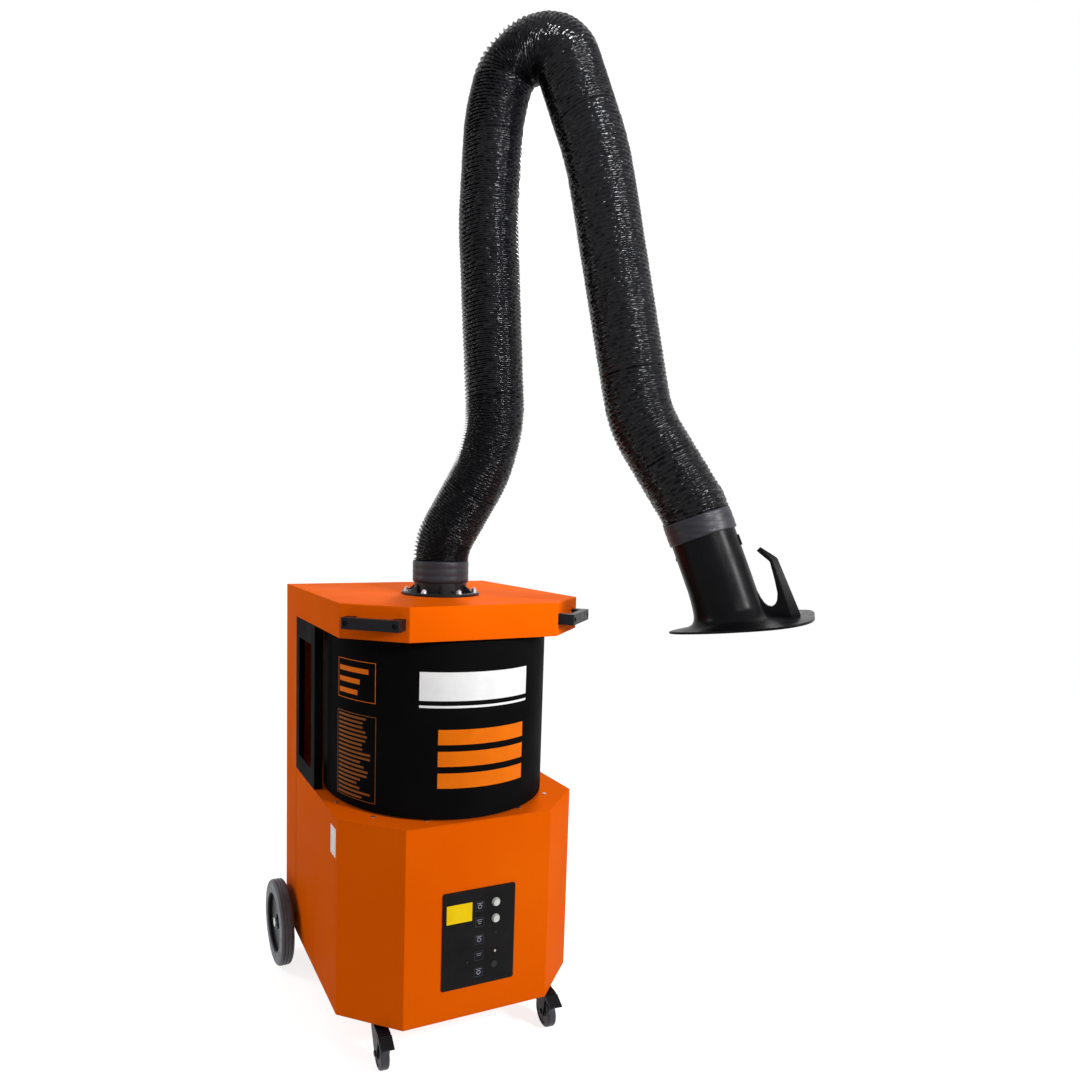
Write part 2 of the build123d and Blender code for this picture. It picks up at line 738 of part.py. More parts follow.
# Screws and bolts: six screws on the deck, two through each handle, and on the flange six
# studs with a head in the cover, a washer and a nut
nut_low = flange_top + washer_thickness
with BuildPart() as cabinet_screws:
    with BuildSketch(level(deck_top)):
        with Locations(deck_screw_places):
            Circle(screw_head_radius)
    extrude(amount=screw_head_height)
    with BuildSketch(level(deck_top)):
        with Locations(deck_screw_places):
            Circle(screw_shank_radius)
    extrude(amount=-screw_shank_length)
    for side in (-1, 1):
        face = chamfer_plane(side)
        with BuildSketch(face.offset(grab_standoff - screw_recess_depth)):
            with GridLocations(2 * grab_post_at, 0, 2, 1):
                Circle(screw_head_radius)
        extrude(amount=screw_head_height)
        with BuildSketch(face):
            with GridLocations(2 * grab_post_at, 0, 2, 1):
                Circle(screw_shank_radius)
        extrude(amount=grab_standoff - screw_recess_depth)
    bolt_spots = []
    for step in range(flange_bolt_count):
        angle = radians(flange_bolt_start + 360 * step / flange_bolt_count)
        bolt_spots.append((flange_bolt_circle * cos(angle), flange_bolt_circle * sin(angle)))
    with BuildSketch(level(cover_top - sheet - nut_height, pivot_across, pivot_back)):
        with Locations(bolt_spots):
            RegularPolygon(nut_across_radius, 6)
    extrude(amount=nut_height)
    with BuildSketch(level(cover_top - sheet - nut_height, pivot_across, pivot_back)):
        with Locations(bolt_spots):
            Circle(bolt_radius)
    extrude(amount=nut_low + nut_height + bolt_tip - cover_top + sheet + nut_height)
    with BuildSketch(level(flange_top, pivot_across, pivot_back)):
        with Locations(bolt_spots):
            Circle(washer_radius)
    extrude(amount=washer_thickness)
    with BuildSketch(level(nut_low, pivot_across, pivot_back)):
        with Locations(bolt_spots):
            RegularPolygon(nut_across_radius, 6)
    extrude(amount=nut_height)
finish(cabinet_screws, "cabinet_screws")

# Neck of the arm: turns in the flange's collar on a spigot
neck_bore = neck_radius - neck_shoulder_wall
cuff_bore = neck_radius + moving_gap
with BuildPart() as arm_neck:
    with BuildSketch(level(collar_top + moving_gap, pivot_across, pivot_back)):
        Circle(cuff_bore)
    extrude(amount=cuff_top - collar_top - moving_gap)
    with BuildSketch(level(collar_top - neck_spigot_length, pivot_across, pivot_back)):
        Circle(neck_radius - neck_wall - running_fit)
    extrude(amount=neck_spigot_length + moving_gap)
    with BuildSketch(level(collar_top - neck_spigot_length, pivot_across, pivot_back)):
        Circle(neck_bore - neck_wall)
    extrude(amount=neck_spigot_length + moving_gap, mode=Mode.SUBTRACT)
    with BuildSketch(level(collar_top + moving_gap, pivot_across, pivot_back)):
        Circle(neck_bore)
    extrude(amount=cuff_top - collar_top - moving_gap, mode=Mode.SUBTRACT)
finish(arm_neck, "arm_neck")

# Grey cuff that holds the hose on the neck
with BuildPart() as base_cuff:
    with BuildSketch(level(cuff_top - cuff_length, pivot_across, pivot_back)):
        Circle(cuff_bore + cuff_thickness)
        Circle(cuff_bore, mode=Mode.SUBTRACT)
    extrude(amount=cuff_length)
finish(base_cuff, "base_cuff")


# Bars inside the hose. Each carries the next one in a fork with a friction bolt.
def bar_face(points, width):
    """Rounded bars through the points of the arm plane, as a face to add to a sketch."""
    with BuildSketch() as face:
        for start, end in zip(points, points[1:]):
            SlotCenterPoint(between(start, end, 0.5), end, width)
    return face.sketch


def along_bar(start, end, distance):
    """The point of the arm plane at a distance from one end of a bar towards the other."""
    return between(start, end, distance / hypot(end[0] - start[0], end[1] - start[1]))


cheek_inner = bar_thickness / 2 + friction_disc
cheek_outer = cheek_inner + cheek_thickness


def fork_parts(pivot_point, next_point):
    """The fork at a bar's upper end, with its bolt and friction discs, as solids to add."""
    cheek_end = along_bar(pivot_point, next_point, cheek_length)
    with BuildPart() as fork:
        with BuildSketch(arm):
            add(bar_face([pivot_point, cheek_end], 2 * knuckle_radius))
        extrude(amount=cheek_outer, both=True)
        with BuildSketch(arm):
            with Locations(pivot_point):
                Circle(knuckle_clear)
        extrude(amount=cheek_inner, both=True, mode=Mode.SUBTRACT)
        with BuildSketch(arm):
            with Locations(pivot_point):
                Circle(pin_radius + running_fit)
        extrude(amount=cheek_outer, both=True, mode=Mode.SUBTRACT)
    with BuildPart() as bolt:
        with BuildSketch(arm):
            with Locations(pivot_point):
                Circle(pin_radius)
        extrude(amount=cheek_outer + pin_head_height, both=True)
        for away in (1, -1):
            with BuildSketch(arm.offset(away * cheek_outer)):
                with Locations(pivot_point):
                    Circle(pin_head_radius)
            extrude(amount=away * pin_head_height)
    discs = []
    for away in (1, -1):
        with BuildPart() as disc:
            with BuildSketch(arm.offset(away * cheek_inner)):
                with Locations(pivot_point):
                    Circle(knuckle_radius - friction_disc)
                    Circle(pin_radius + running_fit, mode=Mode.SUBTRACT)
            extrude(amount=away * (moving_gap - friction_disc))
        discs.append(disc.part)
    return fork.part, bolt.part, discs


def make_bar(name, points, eye=True, fork=True, extra=None):
    """One bar of the arm: an eye at its first point and a fork at its last one."""
    with BuildPart() as bar:
        with BuildSketch(arm):
            add(bar_face(points, bar_width))
            if eye:
                with Locations(points[0]):
                    Circle(knuckle_radius)
                    Circle(pin_radius + running_fit, mode=Mode.SUBTRACT)
            if fork:
                with Locations(points[-1]):
                    Circle(knuckle_clear, mode=Mode.SUBTRACT)
        extrude(amount=bar_thickness / 2, both=True)
        if extra:
            add(extra)
        if fork:
            fork_part, bolt_part, discs = fork_parts(points[-1], points[-2])
            add(fork_part)
    pieces = [bar.part]
    if fork:
        pieces += [bolt_part] + discs
    solids = [solid for piece in pieces for solid in piece.solids()]
    whole = Compound(children=solids)
    whole.label = name
    export_step(whole, f"parts/{name}.step")
    return whole


bridge_high = cuff_top - strut_bridge_rise
bridge_low = bridge_high - strut_bridge_height
with BuildPart() as strut_bridge:
    with BuildSketch(Plane(origin=arm_spot((0, bridge_low)), x_dir=arm.x_dir, z_dir=(0, 0, 1))):
        Circle(neck_bore)
        Rectangle(2 * neck_bore, strut_bridge_width, mode=Mode.INTERSECT)
    extrude(amount=strut_bridge_height)
strut_points = [(0, (bridge_low + bridge_high) / 2 + bar_width / 2), strut_knee, shoulder_pivot]
make_bar("base_strut", strut_points, eye=False, extra=strut_bridge.part)
make_bar("lower_arm_bar", [shoulder_pivot, elbow_bar_low, elbow_pivot])
make_bar("upper_arm_bar", [elbow_pivot, elbow_bar_high, wrist_pivot])
make_bar("end_link", [wrist_pivot, tilt_pivot])

# Hose: one route of tangent runs and arcs, cut into stretches between and over the joints
hood_down = (sin(radians(hood_lean)), -cos(radians(hood_lean)))
hood_out = (cos(radians(hood_lean)), sin(radians(hood_lean)))
hood_top = (
    hose_points[-1][0] + hood_run * hood_down[0],
    hose_points[-1][1] + hood_run * hood_down[1],
)
with BuildLine(arm) as hose_line:
    FilletPolyline((0, cuff_top), *hose_points, hood_top, radius=hose_bend_radii)
hose_route = hose_line.wires()[0]
hose_length = hose_route.length


def route_point(distance):
    """The hose's centre at a length along its route."""
    return hose_route.position_at(distance, position_mode=PositionMode.LENGTH)


def cut_at(height, start, end):
    """The length along the route where it passes a height, between two lengths."""
    rising = route_point(end).Z > route_point(start).Z
    for _ in range(40):
        middle = (start + end) / 2
        if (route_point(middle).Z < height) == rising:
            start = middle
        else:
            end = middle
    return (start + end) / 2


samples = [hose_length * step / route_samples for step in range(route_samples)]
hose_peak = max(samples, key=lambda distance: route_point(distance).Z)
hose_cuts = [0]
for height in hose_cut_heights:
    hose_cuts.append(cut_at(height, hose_cuts[-1], hose_peak))
for height in hose_far_cut_heights:
    hose_cuts.append(cut_at(height, max(hose_peak, hose_cuts[-1]), hose_length))
hose_cuts.append(hose_length)

hose_names = [
    "hose_base",
    "hose_shoulder_bend",
    "hose_lower",
    "hose_elbow_bend",
    "hose_upper",
    "hose_wrist_bend",
    "hose_hood_bend",
]
for index, name in enumerate(hose_names):
    start, end = hose_cuts[index], hose_cuts[index + 1]
    pitch = tight_rib_pitch if index < 2 else loose_rib_pitch
    ribs = round((end - start) / pitch)
    step_length = (end - start) / ribs
    with BuildPart() as hose:
        for rib in range(ribs):
            for share, radius in zip(rib_shares, rib_radii):
                distance = start + (rib + share) * step_length
                direction = hose_route.tangent_at(distance, position_mode=PositionMode.LENGTH)
                with BuildSketch(Plane(origin=route_point(distance), x_dir=arm_normal, z_dir=direction)):
                    Circle(radius)
        direction = hose_route.tangent_at(end, position_mode=PositionMode.LENGTH)
        with BuildSketch(Plane(origin=route_point(end), x_dir=arm_normal, z_dir=direction)):
            Circle(rib_valley_radius)
        loft(ruled=True)
        for rib in range(ribs + 1):
            distance = start + rib * step_length
            direction = hose_route.tangent_at(distance, position_mode=PositionMode.LENGTH)
            with BuildSketch(Plane(origin=route_point(distance), x_dir=arm_normal, z_dir=direction)):
                Circle(hose_bore_radius)
        loft(ruled=True, mode=Mode.SUBTRACT)
    finish(hose, name)


# Hood: places in it are (depth down the neck's axis, distance outwards from it)
def hood_point(depth, out=0):
    """A point of the arm plane from a place in the hood."""
    return (
        hood_top[0] + depth * hood_down[0] + out * hood_out[0],
        hood_top[1] + depth * hood_down[1] + out * hood_out[1],
    )


def arm_direction(vector):
    """A direction of the arm plane, in the part's own frame."""
    return arm.x_dir * vector[0] + arm.y_dir * vector[1]


def neck_plane(depth):
    """A plane across the hood's neck, looking down the neck, x outwards."""
    out = arm_direction(hood_out)
    return Plane(origin=arm_spot(hood_point(depth)), x_dir=out, z_dir=arm_direction(hood_down))


def rim_plane(rise):
    """A plane over the hood's rim, looking down, x outwards."""
    slope = radians(rim_slope)
    centre = (rim_centre[0] - rise * sin(slope), rim_centre[1] + rise * cos(slope))
    out = arm_direction((cos(slope), sin(slope)))
    down = arm_direction((sin(slope), -cos(slope)))
    return Plane(origin=arm_spot(centre), x_dir=out, z_dir=down)


# Yoke: a ring with a bridge and an eye for the end link; the hood's neck turns on its spigot
ring_bore = neck_radius - hood_neck_wall - hood_neck_wall
with BuildPart() as hood_yoke:
    with BuildSketch(neck_plane(0)):
        Circle(cuff_bore)
    extrude(amount=hood_ring_length)
    with BuildSketch(neck_plane(0)):
        Circle(neck_radius - hood_neck_wall - running_fit)
    extrude(amount=hood_ring_length + yoke_spigot_length)
    with BuildSketch(neck_plane(0)):
        Circle(ring_bore)
        Rectangle(2 * neck_radius, strut_bridge_width, mode=Mode.SUBTRACT)
    extrude(amount=hood_ring_length + yoke_spigot_length, mode=Mode.SUBTRACT)
    with BuildSketch(neck_plane(yoke_bridge_height)):
        Circle(ring_bore)
    extrude(amount=hood_ring_length + yoke_spigot_length, mode=Mode.SUBTRACT)
    with BuildSketch(arm):
        add(bar_face([tilt_pivot, hood_point(yoke_bridge_height / 2)], bar_width))
        with Locations(tilt_pivot):
            Circle(knuckle_radius)
            Circle(pin_radius + running_fit, mode=Mode.SUBTRACT)
    extrude(amount=bar_thickness / 2, both=True)
    with BuildSketch(neck_plane(yoke_bridge_height)):
        Circle(ring_bore)
    extrude(amount=bar_width, mode=Mode.SUBTRACT)
finish(hood_yoke, "hood_yoke")

# Grey cuff that holds the hose on the yoke and covers the top of the hood's neck
with BuildPart() as hood_cuff:
    with BuildSketch(neck_plane(0)):
        Circle(cuff_bore + hood_cuff_thickness)
        Circle(cuff_bore, mode=Mode.SUBTRACT)
    extrude(amount=hood_cuff_length)
finish(hood_cuff, "hood_cuff")

def hood_outline(half_length, half_width_here, shift, widening):
    """A closed outline across the hood, wider and squarer at its outer end, to add to a sketch."""
    spots = []
    for step in range(outline_points):
        turn = 2 * pi * step / outline_points
        push = 1 + rim_corner_share * widening * sin(2 * turn) ** 2 * (cos(turn) > 0)
        side = half_width_here * sin(turn) * (1 + widening * cos(turn)) * push
        spots.append((shift + half_length * cos(turn) * push, side))
    with BuildSketch() as outline:
        with BuildLine():
            Spline(*spots, periodic=True)
        make_face()
    return outline.sketch


# Hood: neck, flare and oval rim in one moulding, and the hook handle that stands on it
neck_start = hood_ring_length + moving_gap
damper_spot = arm_spot(hood_point(damper_depth))
shaft_plane = Plane(origin=damper_spot, x_dir=arm_normal, z_dir=arm_direction(hood_out))
flare_rows = list(zip(flare_rises, flare_half_lengths, flare_half_widths, flare_shifts, flare_widenings))
with BuildPart() as hood_form:
    with BuildSketch(neck_plane(neck_start)):
        Circle(neck_radius)
    extrude(amount=hood_neck_length - neck_start)
    with BuildSketch(neck_plane(hood_neck_length)):
        Circle(neck_radius)
    for rise, half_length, half_width_here, shift, widening in flare_rows:
        with BuildSketch(rim_plane(rise)):
            add(hood_outline(half_length, half_width_here, shift, widening))
    loft(ruled=True)
    with BuildSketch(rim_plane(rim_lip_height)):
        add(hood_outline(rim_reach, rim_spread, 0, rim_widening))
    extrude(amount=rim_lip_height)

with BuildPart() as hood_hook:
    with BuildSketch(arm):
        with BuildLine():
            Polyline(*hook_points, close=True)
        make_face()
    extrude(amount=hook_thickness / 2, both=True)
    add(hood_form.part, mode=Mode.SUBTRACT)
finish(hood_hook, "hood_hook")

with BuildPart() as hood_shell:
    add(hood_form.part)
    with BuildSketch(neck_plane(neck_start)):
        Circle(neck_radius - hood_neck_wall)
    extrude(amount=hood_neck_length - neck_start, mode=Mode.SUBTRACT)
    with BuildSketch(neck_plane(hood_neck_length)):
        Circle(neck_radius - hood_neck_wall)
    for rise, half_length, half_width_here, shift, widening in flare_rows:
        bore_length = half_length - hood_neck_wall
        bore_width = half_width_here - hood_neck_wall
        with BuildSketch(rim_plane(rise - hood_neck_wall)):
            add(hood_outline(bore_length, bore_width, shift, widening))
    with BuildSketch(rim_plane(0)):
        add(hood_outline(bore_length, bore_width, shift, widening))
    loft(ruled=True, mode=Mode.SUBTRACT)
    with BuildSketch(shaft_plane):
        Circle(damper_shaft_radius + running_fit)
    extrude(amount=neck_radius + overrun, both=True, mode=Mode.SUBTRACT)
finish(hood_shell, "hood_shell")

# Damper: flap, shaft and lever in one; it stands open, edge on to the air
damper_lever_at = neck_radius + moving_gap
with BuildPart() as damper:
    with BuildSketch(arm):
        with Locations(hood_point(damper_depth)):
            Circle(damper_radius)
    extrude(amount=damper_thickness / 2, both=True)
    with BuildSketch(shaft_plane.offset(-neck_radius - damper_thickness)):
        Circle(damper_shaft_radius)
    extrude(amount=neck_radius + damper_thickness + damper_lever_at + damper_lever_thickness)
    with BuildSketch(shaft_plane.offset(damper_lever_at)):
        RectangleRounded(damper_lever_width, damper_lever_length, damper_lever_width / 3)
    extrude(amount=damper_lever_thickness)
finish(damper, "damper")

# Blower: scroll housing with its inlet throat under the deck and its outlet to the column
housing_high = deck_low - blower_throat
housing_low = housing_high - blower_height
outlet_middle = blower_radius - blower_outlet_width / 2
outlet_length = column_front - drum_back
with BuildPart() as blower_housing:
    with BuildSketch(level(housing_low, 0, drum_back)):
        Circle(blower_radius)
        with Locations((outlet_middle, outlet_length / 2)):
            Rectangle(blower_outlet_width, outlet_length)
    extrude(amount=blower_height)
    with BuildSketch(level(housing_high, 0, drum_back)):
        Circle(blower_inlet_radius + sheet)
    extrude(amount=blower_throat)
    with BuildSketch(level(housing_low + sheet, 0, drum_back)):
        Circle(blower_radius - sheet)
        with Locations((outlet_middle, outlet_length / 2 + overrun)):
            Rectangle(blower_outlet_width - 2 * sheet, outlet_length + 2 * overrun)
    extrude(amount=blower_height - 2 * sheet, mode=Mode.SUBTRACT)
    with BuildSketch(level(housing_high - sheet, 0, drum_back)):
        Circle(blower_inlet_radius)
    extrude(amount=blower_throat + sheet, mode=Mode.SUBTRACT)
    with BuildSketch(level(housing_low, 0, drum_back)):
        Circle(2 * hub_radius)
    extrude(amount=sheet, mode=Mode.SUBTRACT)
finish(blower_housing, "blower_housing")

# Impeller: back plate, hub, swept blades and shroud, and the motor's shaft in its hub
impeller_low = housing_low + (blower_height - impeller_height) / 2
shaft_low = housing_low - bracket_thickness - motor_height * shaft_depth_share
blade_chord = impeller_radius - blade_root_radius
with BuildPart() as rotor:
    with BuildSketch(level(impeller_low, 0, drum_back)):
        Circle(impeller_radius)
    extrude(amount=impeller_plate)
    with BuildSketch(level(impeller_low, 0, drum_back)):
        Circle(hub_radius)
    extrude(amount=hub_height)
    with BuildSketch(level(impeller_low + impeller_height - impeller_plate, 0, drum_back)):
        Circle(impeller_radius)
        Circle(impeller_eye_radius, mode=Mode.SUBTRACT)
    extrude(amount=impeller_plate)
    with BuildSketch(level(impeller_low, 0, drum_back)):
        with PolarLocations((impeller_radius + blade_root_radius) / 2, blade_count):
            Rectangle(blade_chord, blade_thickness, rotation=blade_sweep)
        Circle(impeller_radius, mode=Mode.INTERSECT)
    extrude(amount=impeller_height)
    with BuildSketch(level(impeller_low, 0, drum_back)):
        Circle(shaft_radius + running_fit)
    extrude(amount=hub_height, mode=Mode.SUBTRACT)
with BuildPart() as rotor_shaft:
    with BuildSketch(level(shaft_low, 0, drum_back)):
        Circle(shaft_radius)
    extrude(amount=impeller_low + hub_height - shaft_low)
impeller = Compound(children=[*rotor.part.solids(), *rotor_shaft.part.solids()])
impeller.label = "impeller"
export_step(impeller, "parts/impeller.step")

# Motor: finned body hung by its flange under the bracket
bracket_top = housing_low
motor_top = bracket_top - bracket_thickness
with BuildPart() as blower_motor:
    with BuildSketch(level(motor_top - motor_flange_thickness, 0, drum_back)):
        Circle(motor_flange_radius)
    extrude(amount=motor_flange_thickness)
    with BuildSketch(level(motor_top - motor_height, 0, drum_back)):
        Circle(motor_radius - motor_fin_depth)
    extrude(amount=motor_height)
    with BuildSketch(level(motor_top - motor_height, 0, drum_back)):
        with PolarLocations(motor_radius - motor_fin_depth, motor_fin_count):
            Rectangle(2 * motor_fin_depth, motor_fin_thickness)
    extrude(amount=motor_height - motor_flange_thickness)
    with BuildSketch(level(shaft_low - running_fit, 0, drum_back)):
        Circle(shaft_radius + running_fit)
    extrude(amount=motor_height, mode=Mode.SUBTRACT)
finish(blower_motor, "blower_motor")

# Motor bracket: a plate under the blower on four legs from the bottom plate
with BuildPart() as motor_bracket:
    with BuildSketch(level(motor_top, 0, drum_back)):
        Rectangle(bracket_width, bracket_width)
        Circle(2 * hub_radius, mode=Mode.SUBTRACT)
    extrude(amount=bracket_thickness)
    with BuildSketch(level(base_top, 0, drum_back)):
        with GridLocations(bracket_width - bracket_leg, bracket_width - bracket_leg, 2, 2):
            Rectangle(bracket_leg, bracket_leg)
    extrude(amount=motor_top - base_top)
finish(motor_bracket, "motor_bracket")

# Control panel: a plate on the front with rounded corners and holes for the buttons' stems
button_places = [(button_across, height) for height in button_heights]
with BuildPart() as control_panel:
    with BuildSketch(facing_front(0, 0, panel_middle)):
        RectangleRounded(panel_width, panel_height, panel_corner)
    extrude(amount=panel_thickness)
    with BuildSketch(facing_front(0, 0, panel_middle)):
        with Locations(button_places):
            Circle(button_stem_radius + moving_gap)
    extrude(amount=panel_thickness, mode=Mode.SUBTRACT)
finish(control_panel, "control_panel")

panel_face = facing_front(-panel_thickness, 0, panel_middle)
with BuildPart() as button_bezels:
    with BuildSketch(panel_face):
        with Locations(button_places):
            Circle(bezel_radius)
            Circle(button_radius + moving_gap, mode=Mode.SUBTRACT)
    extrude(amount=bezel_height)
finish(button_bezels, "button_bezels")

# Push buttons: a round cap in its bezel, a stem through the panel and a stop behind it
for place, name in zip(button_places, ("start_button", "stop_button")):
    with BuildPart() as button:
        with BuildSketch(panel_face.offset(button_travel + moving_gap)):
            with Locations(place):
                Circle(button_radius)
        extrude(amount=button_crown)
        fillet(button.edges().group_by(Axis.Y)[0], button_edge)
        with BuildSketch(panel_face.offset(button_travel + moving_gap)):
            with Locations(place):
                Circle(button_stem_radius)
        extrude(amount=-button_stem_length)
        with BuildSketch(panel_face.offset(-panel_thickness - moving_gap)):
            with Locations(place):
                Circle(button_radius)
        extrude(amount=-button_flange)
    finish(button, name)

# Indicator lamps and the round window of the hour meter
with BuildPart() as indicator_lamps:
    with BuildSketch(panel_face):
        with Locations(lamp_places):
            Circle(lamp_radius)
        with Locations(hour_meter_place):
            Circle(hour_meter_radius)
    extrude(amount=lamp_height)
    fillet(indicator_lamps.edges().group_by(Axis.Y)[0], lamp_height / 2)
finish(indicator_lamps, "indicator_lamps")

# Control box behind the panel, open to it, and what is screwed to its back
box_back = sheet + box_depth
with BuildPart() as control_box:
    with BuildSketch(facing_back(0, 0, panel_middle)):
        Rectangle(box_width, box_height)
    extrude(amount=box_back)
    with BuildSketch(facing_back(0, 0, panel_middle)):
        Rectangle(box_width - 2 * box_wall, box_height - 2 * box_wall)
    extrude(amount=box_back - box_wall, mode=Mode.SUBTRACT)
finish(control_box, "control_box")

with BuildPart() as electronics:
    for size, across_share, up_share in zip(
        (contactor_size, transformer_size, terminal_size), board_across_shares, board_up_shares
    ):
        block_up = panel_middle + box_height * up_share
        with BuildSketch(facing_front(box_back - box_wall, box_width * across_share, block_up)):
            RectangleRounded(size[0], size[2], box_wall)
        extrude(amount=size[1])
finish(electronics, "electronics")

# Exhaust grille on the back
grille_pitch = (grille_height - 2 * grille_border) / grille_slot_count
with BuildPart() as exhaust_grille:
    with BuildSketch(facing_back(body_depth, 0, grille_middle)):
        RectangleRounded(grille_width, grille_height, panel_corner)
        with GridLocations(0, grille_pitch, 1, grille_slot_count):
            SlotOverall(grille_width - 2 * grille_border, grille_slot_height, mode=Mode.SUBTRACT)
    extrude(amount=grille_thickness)
finish(exhaust_grille, "exhaust_grille")

# Cable gland: thread through the sheet, nut, dome and the bore for a cable
gland_face = facing_back(body_depth, gland_across, underside_height + gland_rise)
with BuildPart() as cable_gland:
    with BuildSketch(gland_face):
        RegularPolygon(gland_nut_radius, 6)
    extrude(amount=gland_nut_length)
    with BuildSketch(gland_face.offset(gland_nut_length)):
        Circle(gland_dome_radius)
    extrude(amount=gland_dome_length)
    fillet(cable_gland.edges().group_by(Axis.Y)[-1], gland_dome_radius - gland_thread_radius)
    with BuildSketch(gland_face):
        Circle(gland_thread_radius - running_fit)
    extrude(amount=-gland_thread_length)
    with BuildSketch(gland_face.offset(-gland_thread_length)):
        Circle(gland_bore_radius)
    extrude(amount=gland_thread_length + gland_nut_length + gland_dome_length, mode=Mode.SUBTRACT)
finish(cable_gland, "cable_gland")

# Rear axle with its spacers and end caps, and the brackets that hold it
axle_end = half_width + wheel_gap + wheel_width - rim_hub_set
axle_line = Axis(origin=spot(0, wheel_back, wheel_axle_up), direction=(1, 0, 0))
with BuildPart() as axle_rod:
    with BuildSketch(facing_side(1, -axle_end, wheel_back, wheel_axle_up)):
        Circle(axle_radius)
    extrude(amount=2 * axle_end)
    for side in (-1, 1):
        with BuildSketch(facing_side(side, side * axle_end, wheel_back, wheel_axle_up)):
            Circle(axle_cap_radius)
        extrude(amount=axle_cap_length)
axle_pieces = list(axle_rod.part.solids())
for side in (-1, 1):
    with BuildPart() as spacer:
        with BuildSketch(facing_side(side, side * half_width, wheel_back, wheel_axle_up)):
            Circle(axle_cap_radius)
            Circle(axle_radius + running_fit, mode=Mode.SUBTRACT)
        extrude(amount=wheel_gap - moving_gap)
    axle_pieces += spacer.part.solids()
wheel_axle = Compound(children=axle_pieces)
wheel_axle.label = "wheel_axle"
export_step(wheel_axle, "parts/wheel_axle.step")

with BuildPart() as axle_brackets:
    for side in (-1, 1):
        bracket_at = side * (half_width - axle_bracket_width)
        with BuildSketch(facing_side(1, bracket_at, wheel_back, base_top + axle_bracket_height / 2)):
            Rectangle(axle_bracket_width, axle_bracket_height)
        extrude(amount=axle_bracket_thickness)
        with BuildSketch(facing_side(1, bracket_at, wheel_back, wheel_axle_up)):
            Circle(axle_radius + running_fit)
        extrude(amount=axle_bracket_thickness, mode=Mode.SUBTRACT)
finish(axle_brackets, "axle_brackets")

# Rear wheels: a rubber tyre with tread grooves on a dished rim
rim_radius = wheel_radius - tyre_depth
groove_pitch = wheel_width / (tread_groove_count + 1)
hub_set = rim_hub_set + moving_gap
for side, side_name in ((-1, "left"), (1, "right")):
    wheel_middle = half_width + wheel_gap + wheel_width / 2
    wheel_plane = facing_front(wheel_back, side * wheel_middle, wheel_axle_up)
    with BuildPart() as tyre:
        with BuildSketch(wheel_plane):
            with Locations((0, (rim_radius + wheel_radius) / 2)):
                Rectangle(wheel_width, tyre_depth)
        revolve(axis=axle_line)
        tread_edges = tyre.edges().filter_by(GeomType.CIRCLE).group_by(SortBy.RADIUS)[-1]
        fillet(tread_edges, tyre_shoulder)
        with BuildSketch(wheel_plane):
            with Locations((0, wheel_radius)):
                with GridLocations(groove_pitch, 0, tread_groove_count, 1):
                    Rectangle(tread_groove_width, 2 * tread_groove_depth)
        revolve(axis=axle_line, mode=Mode.SUBTRACT)
    finish(tyre, f"rear_tyre_{side_name}")
    with BuildPart() as rim:
        with BuildSketch(wheel_plane):
            with Locations((0, rim_radius - rim_bead / 2)):
                Rectangle(wheel_width - tyre_shoulder, rim_bead)
            with Locations((side * (wheel_width / 2 - rim_disc_set), (rim_radius + axle_radius) / 2)):
                Rectangle(rim_disc_thickness, rim_radius - axle_radius - rim_bead)
            with Locations((-side * hub_set / 2, (rim_hub_radius + axle_radius + running_fit) / 2)):
                Rectangle(wheel_width - hub_set, rim_hub_radius - axle_radius - running_fit)
        revolve(axis=axle_line)
    finish(rim, f"rear_rim_{side_name}")

# Front casters
caster_turn = radians(caster_heading)
trail_x = (cos(caster_turn), sin(caster_turn), 0)
trail_normal = (sin(caster_turn), -cos(caster_turn), 0)
head_high = underside_height - head_plate
head_start = fork_crown_high + moving_gap
cheek_at = caster_wheel_width / 2 + caster_side_gap
caster_axle_place = (caster_trail, caster_wheel_radius)

with BuildPart() as caster_heads:
    for side in (-1, 1):
        with BuildSketch(level(head_high, side * caster_across, caster_back)):
            Circle(head_radius)
        extrude(amount=head_plate)
        with BuildSketch(level(head_start, side * caster_across, caster_back)):
            Circle(head_radius - head_plate)
        extrude(amount=head_high - head_start)
        with BuildSketch(level(fork_crown_low - head_plate, side * caster_across, caster_back)):
            Circle(head_stem_radius)
        extrude(amount=head_start - fork_crown_low + head_plate)
        with BuildSketch(level(fork_crown_low - head_plate, side * caster_across, caster_back)):
            Circle(head_stem_radius + fork_cheek)
        extrude(amount=head_plate - moving_gap)
finish(caster_heads, "caster_heads")

